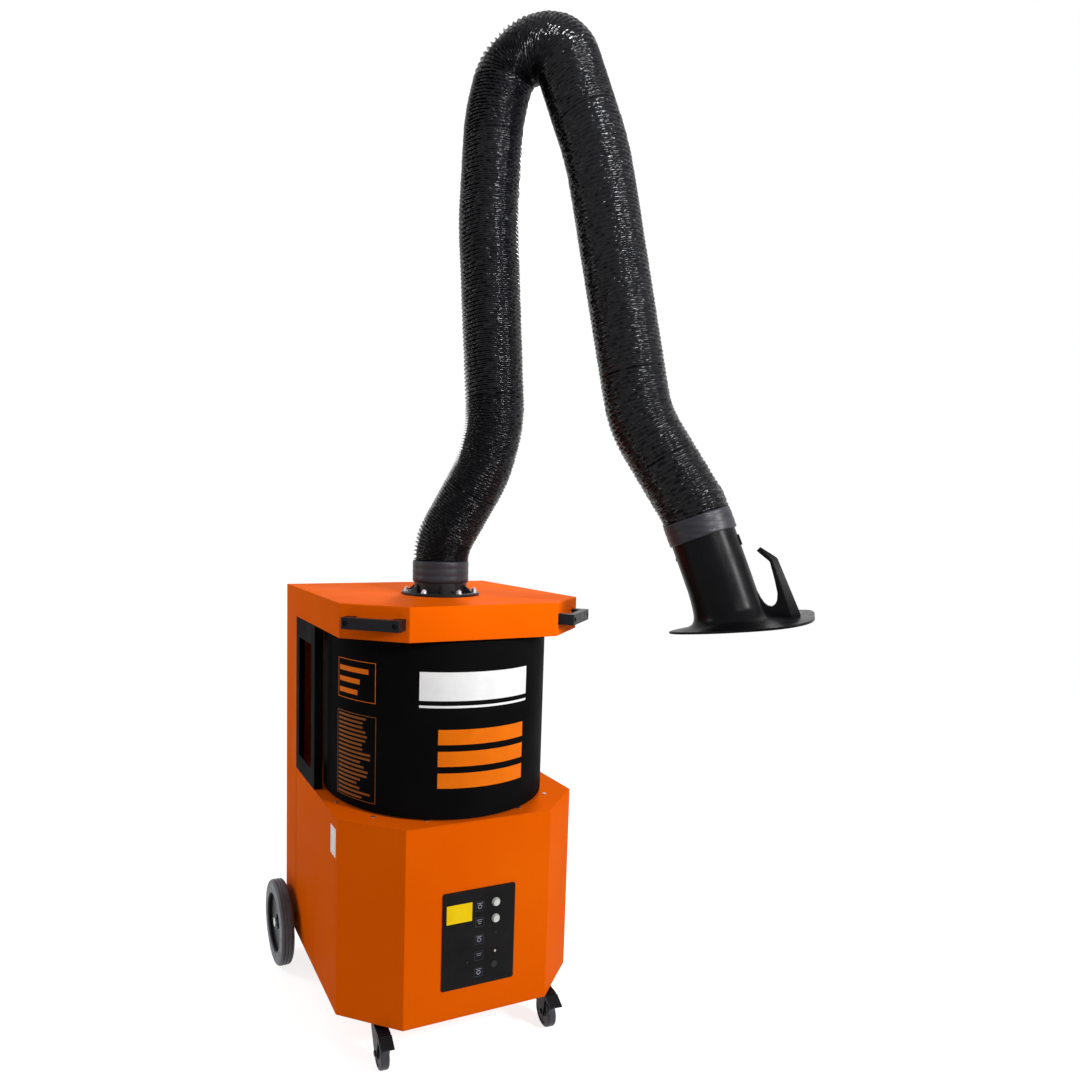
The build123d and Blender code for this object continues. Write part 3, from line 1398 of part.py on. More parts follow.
for side, side_name in ((-1, "left"), (1, "right")):
    side_plane = Plane(origin=spot(side * caster_across, caster_back, 0), x_dir=trail_x, z_dir=trail_normal)
    with BuildPart() as fork:
        for away in (-1, 1):
            with BuildSketch(side_plane.offset(away * cheek_at)):
                with BuildLine():
                    Polyline(
                        (fork_back, fork_crown_high),
                        (fork_front, fork_crown_high),
                        (fork_front, fork_crown_low),
                        (caster_trail + fork_foot_radius, caster_wheel_radius),
                        (caster_trail - fork_foot_radius, caster_wheel_radius),
                        (fork_back, fork_crown_low),
                        close=True,
                    )
                make_face()
                with Locations(caster_axle_place):
                    Circle(fork_foot_radius)
                    Circle(caster_axle_radius + running_fit, mode=Mode.SUBTRACT)
                with Locations(pedal_pivot):
                    Circle(pedal_pin_radius + running_fit, mode=Mode.SUBTRACT)
            extrude(amount=away * fork_cheek)
        with BuildSketch(side_plane):
            with BuildLine():
                Polyline(
                    (fork_back, fork_crown_low),
                    (fork_front, fork_crown_low),
                    (fork_front, fork_crown_high),
                    (fork_back, fork_crown_high),
                    close=True,
                )
            make_face()
        extrude(amount=cheek_at, both=True)
        with BuildSketch(level(fork_crown_low, side * caster_across, caster_back)):
            Circle(head_stem_radius + running_fit)
        extrude(amount=fork_crown_high - fork_crown_low, mode=Mode.SUBTRACT)
    with BuildPart() as pin:
        with BuildSketch(side_plane):
            with Locations(caster_axle_place):
                Circle(caster_axle_radius)
        extrude(amount=cheek_at + 2 * fork_cheek, both=True)
        for away in (-1, 1):
            with BuildSketch(side_plane.offset(away * (cheek_at + fork_cheek))):
                with Locations(caster_axle_place):
                    Circle(caster_axle_radius + fork_cheek)
            extrude(amount=away * fork_cheek)
    caster_fork = Compound(children=[*fork.part.solids(), *pin.part.solids()])
    caster_fork.label = f"caster_fork_{side_name}"
    export_step(caster_fork, f"parts/caster_fork_{side_name}.step")

    with BuildPart() as caster_wheel:
        with BuildSketch(side_plane):
            with Locations(caster_axle_place):
                Circle(caster_wheel_radius)
        extrude(amount=caster_wheel_width / 2, both=True)
        tread_edges = caster_wheel.edges().filter_by(GeomType.CIRCLE)
        fillet(tread_edges, caster_tyre_depth / 2)
        for away in (-1, 1):
            with BuildSketch(side_plane.offset(away * caster_wheel_width / 2)):
                with Locations(caster_axle_place):
                    Circle(caster_wheel_radius - caster_tyre_depth)
                    Circle(fork_foot_radius, mode=Mode.SUBTRACT)
            extrude(amount=-away * caster_hub_groove, mode=Mode.SUBTRACT)
        with BuildSketch(side_plane):
            with Locations(caster_axle_place):
                Circle(caster_axle_radius + running_fit)
        extrude(amount=caster_wheel_width / 2, both=True, mode=Mode.SUBTRACT)
    finish(caster_wheel, f"caster_wheel_{side_name}")

    with BuildPart() as pedal:
        with BuildSketch(side_plane):
            with Locations(pedal_pivot):
                Circle(pedal_boss_radius)
            with BuildLine():
                Polyline(
                    (pedal_pivot[0], pedal_pivot[1] - pedal_thickness / 2),
                    (pedal_wedge_start + pedal_drop, pedal_wedge_low),
                    (pedal_wedge_start + pedal_drop, pedal_pivot[1] + pedal_thickness / 2),
                    (pedal_pivot[0], pedal_pivot[1] + pedal_thickness / 2),
                    close=True,
                )
            make_face()
        extrude(amount=cheek_at - caster_side_gap, both=True)
        with BuildSketch(side_plane):
            with BuildLine():
                Polyline(
                    (pedal_wedge_start, pedal_wedge_low),
                    (pedal_reach, pedal_tip_low),
                    (pedal_reach, pedal_tip_high),
                    (pedal_wedge_start, pedal_wedge_high),
                    close=True,
                )
            make_face()
        extrude(amount=pedal_width / 2, both=True)
        with BuildSketch(side_plane):
            with Locations(pedal_pivot):
                Circle(pedal_pin_radius)
        extrude(amount=cheek_at + fork_cheek, both=True)
    finish(pedal, f"caster_pedal_{side_name}")
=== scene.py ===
"""Dresses the mobile extraction unit for its photograph.

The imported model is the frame. This script adds the hose, the cuffs, the hood, the printed fields,
the panel's small marks and the finishes, and sets the floor, the lights and the camera.
"""

from math import atan2, cos, hypot, pi, radians, sin, tan

import bmesh
import bpy
import numpy as np
from mathutils import Matrix, Vector


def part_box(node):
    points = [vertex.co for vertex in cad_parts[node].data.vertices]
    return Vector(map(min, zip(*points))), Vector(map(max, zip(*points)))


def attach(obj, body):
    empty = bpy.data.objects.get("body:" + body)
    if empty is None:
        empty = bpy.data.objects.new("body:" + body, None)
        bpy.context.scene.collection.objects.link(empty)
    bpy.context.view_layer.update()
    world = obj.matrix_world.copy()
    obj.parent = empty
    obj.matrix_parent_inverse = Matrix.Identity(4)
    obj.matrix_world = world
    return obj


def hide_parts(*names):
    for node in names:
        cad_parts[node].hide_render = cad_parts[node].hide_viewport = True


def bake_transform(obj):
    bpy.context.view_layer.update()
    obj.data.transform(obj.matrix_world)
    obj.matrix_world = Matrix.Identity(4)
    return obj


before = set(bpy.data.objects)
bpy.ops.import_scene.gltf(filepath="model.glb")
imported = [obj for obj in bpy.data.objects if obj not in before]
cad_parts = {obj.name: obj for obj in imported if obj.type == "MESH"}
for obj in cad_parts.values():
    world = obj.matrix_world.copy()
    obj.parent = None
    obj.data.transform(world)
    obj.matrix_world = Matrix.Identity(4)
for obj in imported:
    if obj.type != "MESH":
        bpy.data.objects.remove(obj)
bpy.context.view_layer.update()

MM = 0.001

# Camera: its place in the row frame, its turn, and its lens in the pixels of the photograph
picture_pixels = 1080
camera_place = Vector((-1051.3 * MM, -1819.9 * MM, 1399.1 * MM))
camera_yaw = 0.380
camera_pitch = 0.088
camera_roll = 0.016
focal_pixels = 773.8
middle_pixel = (407.4, 586.3)
sensor_width = 36.0

# Arm: its heading seen from above, the route of the hose in its upright plane, and the route's bends
arm_heading = radians(-49)
hose_points = [
    (0, 1325 * MM),
    (120 * MM, 1530 * MM),
    (153 * MM, 1660 * MM),
    (118 * MM, 2190 * MM),
    (129 * MM, 2445 * MM),
    (167 * MM, 2584 * MM),
    (303 * MM, 2584 * MM),
    (404 * MM, 2300 * MM),
    (532 * MM, 1650 * MM),
    (665 * MM, 1436 * MM),
]
hose_bend_radii = [
    150 * MM,
    320 * MM,
    320 * MM,
    900 * MM,
    420 * MM,
    86 * MM,
    86 * MM,
    900 * MM,
    320 * MM,
    110 * MM,
]
hose_cut_heights = [1478 * MM, 1722 * MM, 2392 * MM]
hose_far_cut_heights = [2392 * MM, 1762 * MM, 1546 * MM]

# Ribbed hose: a wire every pitch, with the skin drawn in and pleated between the wires. The skin
# is drawn in deepest on the outer side of the near leg, where the wires stand out as fins
rib_crest_radius = 78.5 * MM
hose_lining_radius = 65.5 * MM
loose_rib_pitch = 10.8 * MM
tight_rib_pitch = 8.0 * MM
rib_depth = 2.6 * MM
fin_depth = 7.5 * MM
fin_fade = 80 * MM
fin_top_share = 0.2
wire_share = 0.5
crest_power = 0.8
fin_crest_power = 4.0
rows_per_rib = 8
hose_columns = 144
pleat_counts = [7, 13, 22, 34]
pleat_depth = 1.6 * MM
pleat_skew = 1.5
pleat_seed = 1000
wire_wander = 0.4 * MM
wire_seed = 5000
route_samples = 400
cut_halvings = 40

# Hood: neck along a leaning axis, flare, oval rim and hook handle
hood_lean = radians(21)
hood_run = 25 * MM
hood_ring_length = 26.0 * MM
hood_ring_gap = 0.3 * MM
neck_radius = 74.0 * MM
hood_wall = 3.0 * MM
hood_neck_length = 170.0 * MM
neck_depths = [
    hood_ring_length + hood_ring_gap,
    60 * MM,
    95 * MM,
    130 * MM,
    155 * MM,
    hood_neck_length,
]
hood_columns = 96
hood_steps = 8
rim_centre = (783 * MM, 1157 * MM)
rim_slope = radians(11.5)
flare_rises = [46.0 * MM, 26.0 * MM, 14.0 * MM, 6.0 * MM]
flare_half_lengths = [77.0 * MM, 82.0 * MM, 94.0 * MM, 134.0 * MM]
flare_half_widths = [77.0 * MM, 84.0 * MM, 98.0 * MM, 128.0 * MM]
flare_shifts = [-20.0 * MM, -17.0 * MM, -14.0 * MM, -4.0 * MM]
flare_widenings = [0.0, 0.06, 0.15, 0.38]
rim_reach = 161.0 * MM
rim_spread = 145.0 * MM
rim_widening = 0.5
rim_corner_share = 0.3
lip_height = 6.0 * MM
lip_steps = 6
hook_half_thickness = 10.0 * MM
hook_edge = 2.0 * MM
hook_sharp_angle = 0.35
hook_inner_points = [
    (775 * MM, 1216 * MM),
    (808 * MM, 1262 * MM),
    (818 * MM, 1242 * MM),
    (827 * MM, 1226 * MM),
    (835 * MM, 1215 * MM),
    (843 * MM, 1209 * MM),
    (851 * MM, 1208 * MM),
    (857 * MM, 1213 * MM),
    (861 * MM, 1223 * MM),
    (861 * MM, 1240 * MM),
    (853 * MM, 1272 * MM),
    (841 * MM, 1312 * MM),
    (812 * MM, 1336 * MM),
    (819 * MM, 1345 * MM),
]
hook_facet_points = [
    (846 * MM, 1317 * MM),
    (888 * MM, 1200 * MM),
    (893 * MM, 1184 * MM),
]
hook_ridge_points = [
    (857 * MM, 1321 * MM),
    (910 * MM, 1200 * MM),
    (914 * MM, 1186 * MM),
]
hook_heel = (790 * MM, 1166 * MM)

# Grey cuffs
cuff_bore = 74.3 * MM
cuff_wall = 4.0 * MM
cuff_edge = 1.6 * MM
cuff_swell = 0.35 * MM
cuff_twist_per_metre = 40
cuff_band_height = 0.3 * MM
cuff_band_count = 3
cuff_columns = 120
cuff_rows = 16
base_cuff_seed = 3
hood_cuff_seed = 8
hood_cuff_length = 52.0 * MM

# Printed fields on the drum, given as (left degrees, right degrees, low, high) from its front
field_lift = 0.4 * MM
field_back = 0.05 * MM
field_step_degrees = 1.5
white_field = (-30.0, 27.0, 945 * MM, 1018 * MM)
white_line = (-30.0, 27.0, 927 * MM, 933 * MM)
orange_fields = [
    (-21.0, 25.0, 833 * MM, 872 * MM),
    (-21.0, 25.0, 777 * MM, 816 * MM),
    (-21.0, 25.0, 721 * MM, 760 * MM),
]
small_frame = (-77.0, -51.5, 925 * MM, 1030 * MM)
tall_frame = (-77.5, -51.0, 662 * MM, 890 * MM)
frame_line = 1.6 * MM
tall_rows = 19
tall_bar_share = 0.5
small_rows = 3
small_bar_share = 0.45
form_margin_degrees = 1.2
form_spare_rows = 0.6
form_first_row_share = 0.5
form_bar_width_shares = (0.55, 0.95)

# Side label: its places are from the lower housing's front edge and from the floor
side_label = (136 * MM, 182 * MM, 528 * MM, 604 * MM)
label_lift = 0.4 * MM
mark_back = 0.02 * MM

# Zones of another colour: painted shade on the front of the rear column, deep in the bay; the screws at
# the height of the top cover; and the pale lamp, from the foot of the lowest lamp up
column_front = 562 * MM
bay_overrun = 2 * MM
far_away = 9.0
screw_zone_drop = 10 * MM
lamp_pale = (40 * MM, 49 * MM)

# Panel: places are from its middle
sticker = (-93 * MM, -21 * MM, 47 * MM, 96.5 * MM)
sticker_rounding = 1.0 * MM
tile_across = 1.0 * MM
tile_heights = [81.5 * MM, 39.5 * MM, -7.5 * MM, -51.5 * MM, -95.5 * MM]
tile_size = 25.0 * MM
tile_line = 1.0 * MM
ring_drop = 1 * MM
ring_radius = 6 * MM
ring_width = 2 * MM
ring_columns = 36
bar_top = 5 * MM
bar_pitch = 5 * MM
bar_above_ring = 7 * MM
bar_reach = 8 * MM
bar_shortening = 2 * MM
bar_height = 1.6 * MM
mark_lift = 0.3 * MM

# Stage: lengths are in metres
floor_reach = 60.0
floor_grey = 0.62
floor_roughness = 0.9
floor_glow = 0.8
ambient_light = 0.34


# Geometry of the arm, from the frame
def middle_of(node_name):
    """The middle of a node's box."""
    low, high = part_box(node_name)
    return (low + high) / 2


pivot = middle_of("arm_flange")
drum_middle = middle_of("filter_drum")
head = Vector((cos(arm_heading), sin(arm_heading), 0))
arm_normal = Vector((head.y, -head.x, 0))


def in_arm(place, aside=0.0):
    """A point of the row frame from a place (across, height) in the arm's upright plane."""
    across, height = place
    return Vector((pivot.x, pivot.y, 0)) + across * head + aside * arm_normal + Vector((0, 0, height))


def arm_direction(vector):
    """A direction of the row frame from one in the arm's upright plane."""
    return vector[0] * head + Vector((0, 0, vector[1]))


def turned(vector, angle):
    """A flat vector turned by an angle."""
    return (
        vector[0] * cos(angle) - vector[1] * sin(angle),
        vector[0] * sin(angle) + vector[1] * cos(angle),
    )


class Route:
    """A line of straight runs and tangent arcs through points in the arm's plane."""

    def __init__(self, points, radii):
        self.pieces = []
        here = points[0]
        for before, corner, after, radius in zip(points, points[1:], points[2:], radii):
            into = self.direction(before, corner)
            out = self.direction(corner, after)
            turn = atan2(into[0] * out[1] - into[1] * out[0], into[0] * out[0] + into[1] * out[1])
            reach = radius * tan(abs(turn) / 2)
            entry = (corner[0] - into[0] * reach, corner[1] - into[1] * reach)
            self.pieces.append((here, into, 0.0, hypot(entry[0] - here[0], entry[1] - here[1])))
            self.pieces.append((entry, into, turn / abs(turn) / radius, radius * abs(turn)))
            here = (corner[0] + out[0] * reach, corner[1] + out[1] * reach)
        last = points[-1]
        run = hypot(last[0] - here[0], last[1] - here[1])
        self.pieces.append((here, self.direction(here, last), 0.0, run))
        self.length = sum(piece[3] for piece in self.pieces)

    @staticmethod
    def direction(start, end):
        run = hypot(end[0] - start[0], end[1] - start[1])
        return ((end[0] - start[0]) / run, (end[1] - start[1]) / run)

    def at(self, distance):
        """The place and the direction at a length along the route."""
        for start, into, curvature, length in self.pieces:
            if distance <= length:
                break
            distance -= length
        if curvature == 0:
            return (start[0] + into[0] * distance, start[1] + into[1] * distance), into
        centre = (start[0] - into[1] / curvature, start[1] + into[0] / curvature)
        angle = distance * curvature
        arm = turned((start[0] - centre[0], start[1] - centre[1]), angle)
        return (centre[0] + arm[0], centre[1] + arm[1]), turned(into, angle)

    def cut(self, height, start, end):
        """The length along the route where it passes a height, between two lengths."""
        rising = self.at(end)[0][1] > self.at(start)[0][1]
        for _ in range(cut_halvings):
            middle = (start + end) / 2
            if (self.at(middle)[0][1] < height) == rising:
                start = middle
            else:
                end = middle
        return (start + end) / 2


hood_down = (sin(hood_lean), -cos(hood_lean))
hood_out = (cos(hood_lean), sin(hood_lean))


def hood_place(depth):
    """A place in the arm's plane on the axis of the hood's neck, from a depth down it."""
    across, height = hose_points[-1]
    run = hood_run + depth
    return (across + run * hood_down[0], height + run * hood_down[1])


# Materials: how fine clouds and scuffs are, and where an edge or a scuff begins and ends
cloud_detail = 4.0
gloss_patch_ratio = 3
scuff_grain = 90.0
scuff_detail = 5.0
scuff_range = (0.42, 0.66)
edge_range = (0.8, 0.99)
bevel_samples = 4


def colour(red, green, blue):
    """A colour as it is seen on a screen, for a shader."""
    seen = [value / 255 for value in (red, green, blue)]
    return (*[v / 12.92 if v <= 0.04045 else ((v + 0.055) / 1.055) ** 2.4 for v in seen], 1.0)


def add_node(tree, kind, inputs=None, **settings):
    """A new shader node with its inputs and settings."""
    made = tree.nodes.new(kind)
    for key, value in settings.items():
        setattr(made, key, value)
    for key, value in (inputs or {}).items():
        made.inputs[key].default_value = value
    return made


def noise(tree, coordinates, scale, detail=3.0, stretch=(1, 1, 1)):
    """Noise in the object's own space, in features of 1 / scale metres."""
    mapping = add_node(tree, "ShaderNodeMapping", {"Scale": stretch})
    tree.links.new(coordinates, mapping.inputs["Vector"])
    made = add_node(tree, "ShaderNodeTexNoise", {"Scale": scale, "Detail": detail})
    tree.links.new(mapping.outputs["Vector"], made.inputs["Vector"])
    return made.outputs["Fac"]


def spread(tree, value, low, high, start=0.3, end=0.7):
    """A value's middle range spread between two numbers."""
    made = add_node(
        tree,
        "ShaderNodeMapRange",
        {"From Min": start, "From Max": end, "To Min": low, "To Max": high},
        clamp=True,
    )
    tree.links.new(value, made.inputs["Value"])
    return made.outputs["Result"]


# The places of the colours among the mix node's sockets
first_colour_input = 6
second_colour_input = 7
colour_output = 2


def mixed(tree, factor, first, second):
    """Two colours mixed by a factor. Each is a socket or a colour."""
    made = add_node(tree, "ShaderNodeMix", data_type="RGBA")
    tree.links.new(factor, made.inputs[0])
    for place, value in ((first_colour_input, first), (second_colour_input, second)):
        if isinstance(value, bpy.types.NodeSocket):
            tree.links.new(value, made.inputs[place])
        else:
            made.inputs[place].default_value = value
    return made.outputs[colour_output]


def times(tree, first, second):
    """The product of two values."""
    made = add_node(tree, "ShaderNodeMath", operation="MULTIPLY")
    tree.links.new(first, made.inputs[0])
    tree.links.new(second, made.inputs[1])
    return made.outputs[0]


def within(tree, axis, low, high):
    """One where a place of the row frame lies between two levels along an axis, else nought."""
    split = add_node(tree, "ShaderNodeSeparateXYZ")
    tree.links.new(add_node(tree, "ShaderNodeNewGeometry").outputs["Position"], split.inputs[0])
    above = add_node(tree, "ShaderNodeMath", {1: low}, operation="GREATER_THAN")
    below = add_node(tree, "ShaderNodeMath", {1: high}, operation="LESS_THAN")
    tree.links.new(split.outputs[axis], above.inputs[0])
    tree.links.new(split.outputs[axis], below.inputs[0])
    return times(tree, above.outputs[0], below.outputs[0])


def edges(tree, radius):
    """A rounded normal, and how much of an edge a place is."""
    bevel = add_node(tree, "ShaderNodeBevel", {"Radius": radius}, samples=bevel_samples)
    geometry = add_node(tree, "ShaderNodeNewGeometry")
    dot = add_node(tree, "ShaderNodeVectorMath", operation="DOT_PRODUCT")
    tree.links.new(bevel.outputs["Normal"], dot.inputs[0])
    tree.links.new(geometry.outputs["Normal"], dot.inputs[1])
    edge = spread(tree, dot.outputs["Value"], 1.0, 0.0, *edge_range)
    return bevel.outputs["Normal"], edge


def finish(
    name,
    base,
    second,
    rough,
    patch=6.0,
    grain=900.0,
    depth=0.05 * MM,
    stretch=(1, 1, 1),
    worn=None,
    edge_radius=0.0,
    detail=3.0,
    zone=None,
    **constants,
):
    """A finish with cloudy colour, uneven gloss and a fine grain.

    Where asked, its edges are worn and rounded, and a zone of it has another colour.
    """
    material = bpy.data.materials.new(name)
    material.use_nodes = True
    tree = material.node_tree
    shader = tree.nodes["Principled BSDF"]
    place = add_node(tree, "ShaderNodeTexCoord").outputs["Object"]
    cloud = spread(tree, noise(tree, place, patch, cloud_detail, stretch), 0.0, 1.0)
    tint = mixed(tree, cloud, base, second)
    bump = add_node(tree, "ShaderNodeBump", {"Strength": 1.0, "Distance": depth})
    tree.links.new(noise(tree, place, grain, detail, stretch), bump.inputs["Height"])
    if edge_radius:
        normal, edge = edges(tree, edge_radius)
        tree.links.new(normal, bump.inputs["Normal"])
        if worn:
            scuffs = noise(tree, place, scuff_grain, scuff_detail)
            scuffs = spread(tree, scuffs, 0.0, 1.0, *scuff_range)
            tint = mixed(tree, times(tree, edge, scuffs), tint, worn)
    if zone:
        tint = mixed(tree, within(tree, *zone[:3]), tint, zone[3])
    tree.links.new(tint, shader.inputs["Base Color"])
    gloss = noise(tree, place, patch * gloss_patch_ratio, cloud_detail, stretch)
    gloss = spread(tree, gloss, *rough)
    tree.links.new(gloss, shader.inputs["Roughness"])
    tree.links.new(bump.outputs["Normal"], shader.inputs["Normal"])
    for key, value in constants.items():
        shader.inputs[key.replace("_", " ")].default_value = value
    return material


def orange_coat(name, zone=None):
    """Orange powder coat with its fine orange peel."""
    return finish(
        name,
        colour(238, 100, 4),
        colour(232, 93, 1),
        (0.4, 0.5),
        patch=3.0,
        grain=420.0,
        worn=colour(240, 118, 26),
        edge_radius=1.6 * MM,
        zone=zone,
        Specular_IOR_Level=0.003,
    )


def black_coat():
    """Satin black powder coat of the drum, the side covers and the exhaust grille."""
    return finish(
        "black_powder_coat",
        colour(17, 17, 18),
        colour(12, 12, 13),
        (0.42, 0.55),
        patch=4.0,
        grain=700.0,
        worn=colour(34, 34, 36),
        edge_radius=1.2 * MM,
        Specular_IOR_Level=0.005,
    )


def arm_coat():
    """Black paint of the flange, the neck, the damper and the casters' and axle's mountings."""
    return finish(
        "arm_black_paint",
        colour(20, 20, 24),
        colour(13, 13, 16),
        (0.3, 0.42),
        patch=18.0,
        grain=500.0,
        worn=colour(70, 70, 76),
        edge_radius=1.0 * MM,
        Specular_IOR_Level=0.2,
    )


def zinc(name="zinc_plate", zone=None):
    """Bright zinc of the screws, the axle, the spark trap, the control box and the motor bracket."""
    return finish(
        name,
        colour(205, 207, 212),
        colour(168, 170, 178),
        (0.25, 0.45),
        patch=60.0,
        grain=1500.0,
        edge_radius=0.4 * MM,
        zone=zone,
        Metallic=1.0,
    )


def alloy():
    """Mill finish of the arm's aluminium bars, link and yoke."""
    return finish(
        "mill_alloy",
        colour(190, 192, 196),
        colour(160, 162, 168),
        (0.35, 0.5),
        patch=30.0,
        stretch=(1, 1, 0.1),
        Metallic=1.0,
    )


def hose_skin():
    """Coated near-black fabric, drawn into fine creases between the wires."""
    return finish(
        "hose_coated_fabric",
        colour(14, 14, 17),
        colour(5, 5, 7),
        (0.06, 0.16),
        patch=60.0,
        grain=75.0,
        depth=1.3 * MM,
        detail=1.0,
        Specular_IOR_Level=0.13,
    )


def cuff_rubber():
    """Grey rubber sleeve with faint stretch marks around it."""
    return finish(
        "cuff_grey_rubber",
        colour(45, 45, 51),
        colour(29, 29, 34),
        (0.32, 0.46),
        patch=16.0,
        grain=60.0,
        depth=0.5 * MM,
        stretch=(0.5, 0.5, 6),
        Specular_IOR_Level=0.2,
    )


def seal_rubber():
    """Dull black seal rubber."""
    return finish(
        "seal_rubber",
        colour(24, 24, 24),
        colour(32, 32, 32),
        (0.7, 0.85),
        grain=800.0,
    )


def paper():
    """Off-white pleated filter paper."""
    return finish(
        "filter_paper",
        colour(226, 220, 204),
        colour(206, 198, 180),
        (0.85, 0.95),
        patch=20.0,
        grain=1200.0,
        depth=0.1 * MM,
    )


def hood_gloss():
    """Deep black moulded plastic of the hood."""
    return finish(
        "hood_gloss_plastic",
        colour(15, 15, 18),
        colour(9, 9, 11),
        (0.26, 0.36),
        patch=12.0,
        grain=120.0,
        Specular_IOR_Level=0.06,
    )


def handle_plastic():
    """Grained black plastic of the grab handles, the gland, the rims, the forks and the pedals."""
    return finish(
        "grained_black_plastic",
        colour(18, 19, 23),
        colour(10, 10, 13),
        (0.32, 0.5),
        patch=25.0,
        grain=1400.0,
        depth=0.1 * MM,
        worn=colour(56, 58, 66),
        edge_radius=1.2 * MM,
        Specular_IOR_Level=0.14,
    )


def panel_film():
    """Matte black film of the control panel."""
    return finish(
        "panel_black_film",
        colour(26, 25, 25),
        colour(19, 18, 19),
        (0.5, 0.62),
        patch=14.0,
        grain=1600.0,
        edge_radius=0.8 * MM,
        worn=colour(10, 16, 26),
        Specular_IOR_Level=0.06,
    )


def button_silver(name, bright):
    """Silver-white buttons and their rings."""
    return finish(
        name,
        colour(bright, bright, bright - 3),
        colour(bright - 26, bright - 26, bright - 30),
        (0.25, 0.4),
        patch=120.0,
        edge_radius=0.6 * MM,
    )


def lamp_lens(zone):
    """Dark lenses of the small lamps, with a cream one among them."""
    return finish(
        "lamp_lens",
        colour(34, 33, 33),
        colour(24, 24, 24),
        (0.2, 0.35),
        patch=150.0,
        zone=zone,
        Specular_IOR_Level=0.2,
    )


def grey_plastic():
    """Grey moulded plastic of the blower and the electrical parts."""
    return finish(
        "grey_plastic",
        colour(112, 113, 116),
        colour(96, 97, 100),
        (0.5, 0.6),
    )


def tyre(name, base, second):
    """Dusty rubber of the rear tyres and the casters' wheels."""
    return finish(
        name,
        base,
        second,
        (0.36, 0.6),
        patch=14.0,
        grain=600.0,
        depth=0.15 * MM,
        edge_radius=1.5 * MM,
        worn=colour(108, 110, 116),
        Specular_IOR_Level=0.25,
    )


def print_ink(name, base, second):
    """Printed film on the drum, the panel and the side label."""
    return finish(
        name,
        base,
        second,
        (0.4, 0.5),
        patch=20.0,
        grain=1500.0,
        depth=0.02 * MM,
        Specular_IOR_Level=0.1,
    )


# Meshes
def make_object(name, vertices, faces, material, smooth=True):
    """A new mesh object from points and faces, in the row frame."""
    mesh = bpy.data.meshes.new(name)
    mesh.from_pydata([tuple(v) for v in vertices], [], faces)
    mesh.update()
    mesh.polygons.foreach_set("use_smooth", [smooth] * len(mesh.polygons))
    mesh.materials.append(material)
    made = bpy.data.objects.new(name, mesh)
    bpy.context.scene.collection.objects.link(made)
    return made


def grid_faces(rows, columns, start=0, flip=False):
    """The quads between rows of points that close around."""
    row, column = np.meshgrid(np.arange(rows - 1), np.arange(columns), indexing="ij")
    beside = (column + 1) % columns
    corners = [
        row * columns + column,
        row * columns + beside,
        (row + 1) * columns + beside,
        (row + 1) * columns + column,
    ]
    quads = np.stack(corners[::-1] if flip else corners, axis=-1).reshape(-1, 4) + start
    return quads.tolist()


def ring_faces(first, second, columns, flip=False):
    """The quads between two rings that start at two point numbers."""
    quads = []
    for column in range(columns):
        beside = (column + 1) % columns
        quad = [first + column, first + beside, second + beside, second + column]
        quads.append(quad[::-1] if flip else quad)
    return quads


def closed_tube(name, outer, inner, material):
    """A closed pipe from rows of points outside and inside it."""
    outer_rows, columns = outer.shape[:2]
    inner_rows = inner.shape[0]
    vertices = np.concatenate([outer.reshape(-1, 3), inner.reshape(-1, 3)])
    offset = outer_rows * columns
    faces = grid_faces(outer_rows, columns)
    faces += grid_faces(inner_rows, columns, offset, flip=True)
    skins = len(faces)
    faces += ring_faces(0, offset, columns, flip=True)
    faces += ring_faces(offset - columns, offset + (inner_rows - 1) * columns, columns)
    piece = make_object(name, vertices, faces, material)
    rounded = [index < skins for index in range(len(faces))]
    piece.data.polygons.foreach_set("use_smooth", rounded)
    return piece


def circle(columns):
    """The cosines, the sines and the angles of one turn."""
    angles = np.arange(columns) * 2 * pi / columns
    return np.cos(angles), np.sin(angles), angles


# Hose
route = Route([(0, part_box("base_cuff")[1].z), *hose_points, hood_place(0)], hose_bend_radii)
route_steps = [route.length * step / route_samples for step in range(route_samples)]
route_peak = max(route_steps, key=lambda distance: route.at(distance)[0][1])


def hose_cuts():
    """The lengths along the route where one stretch of hose ends and the next begins."""
    cuts = [0.0]
    for height in hose_cut_heights:
        cuts.append(route.cut(height, cuts[-1], route_peak))
    for height in hose_far_cut_heights:
        cuts.append(route.cut(height, max(route_peak, cuts[-1]), route.length))
    return [*cuts, route.length]


def fin_share(distance):
    """How far the wires stand out as fins: full along the near leg, none soon past the top."""
    past = distance - route_peak
    return min(1.0, max(0.0, fin_top_share - past / fin_fade))


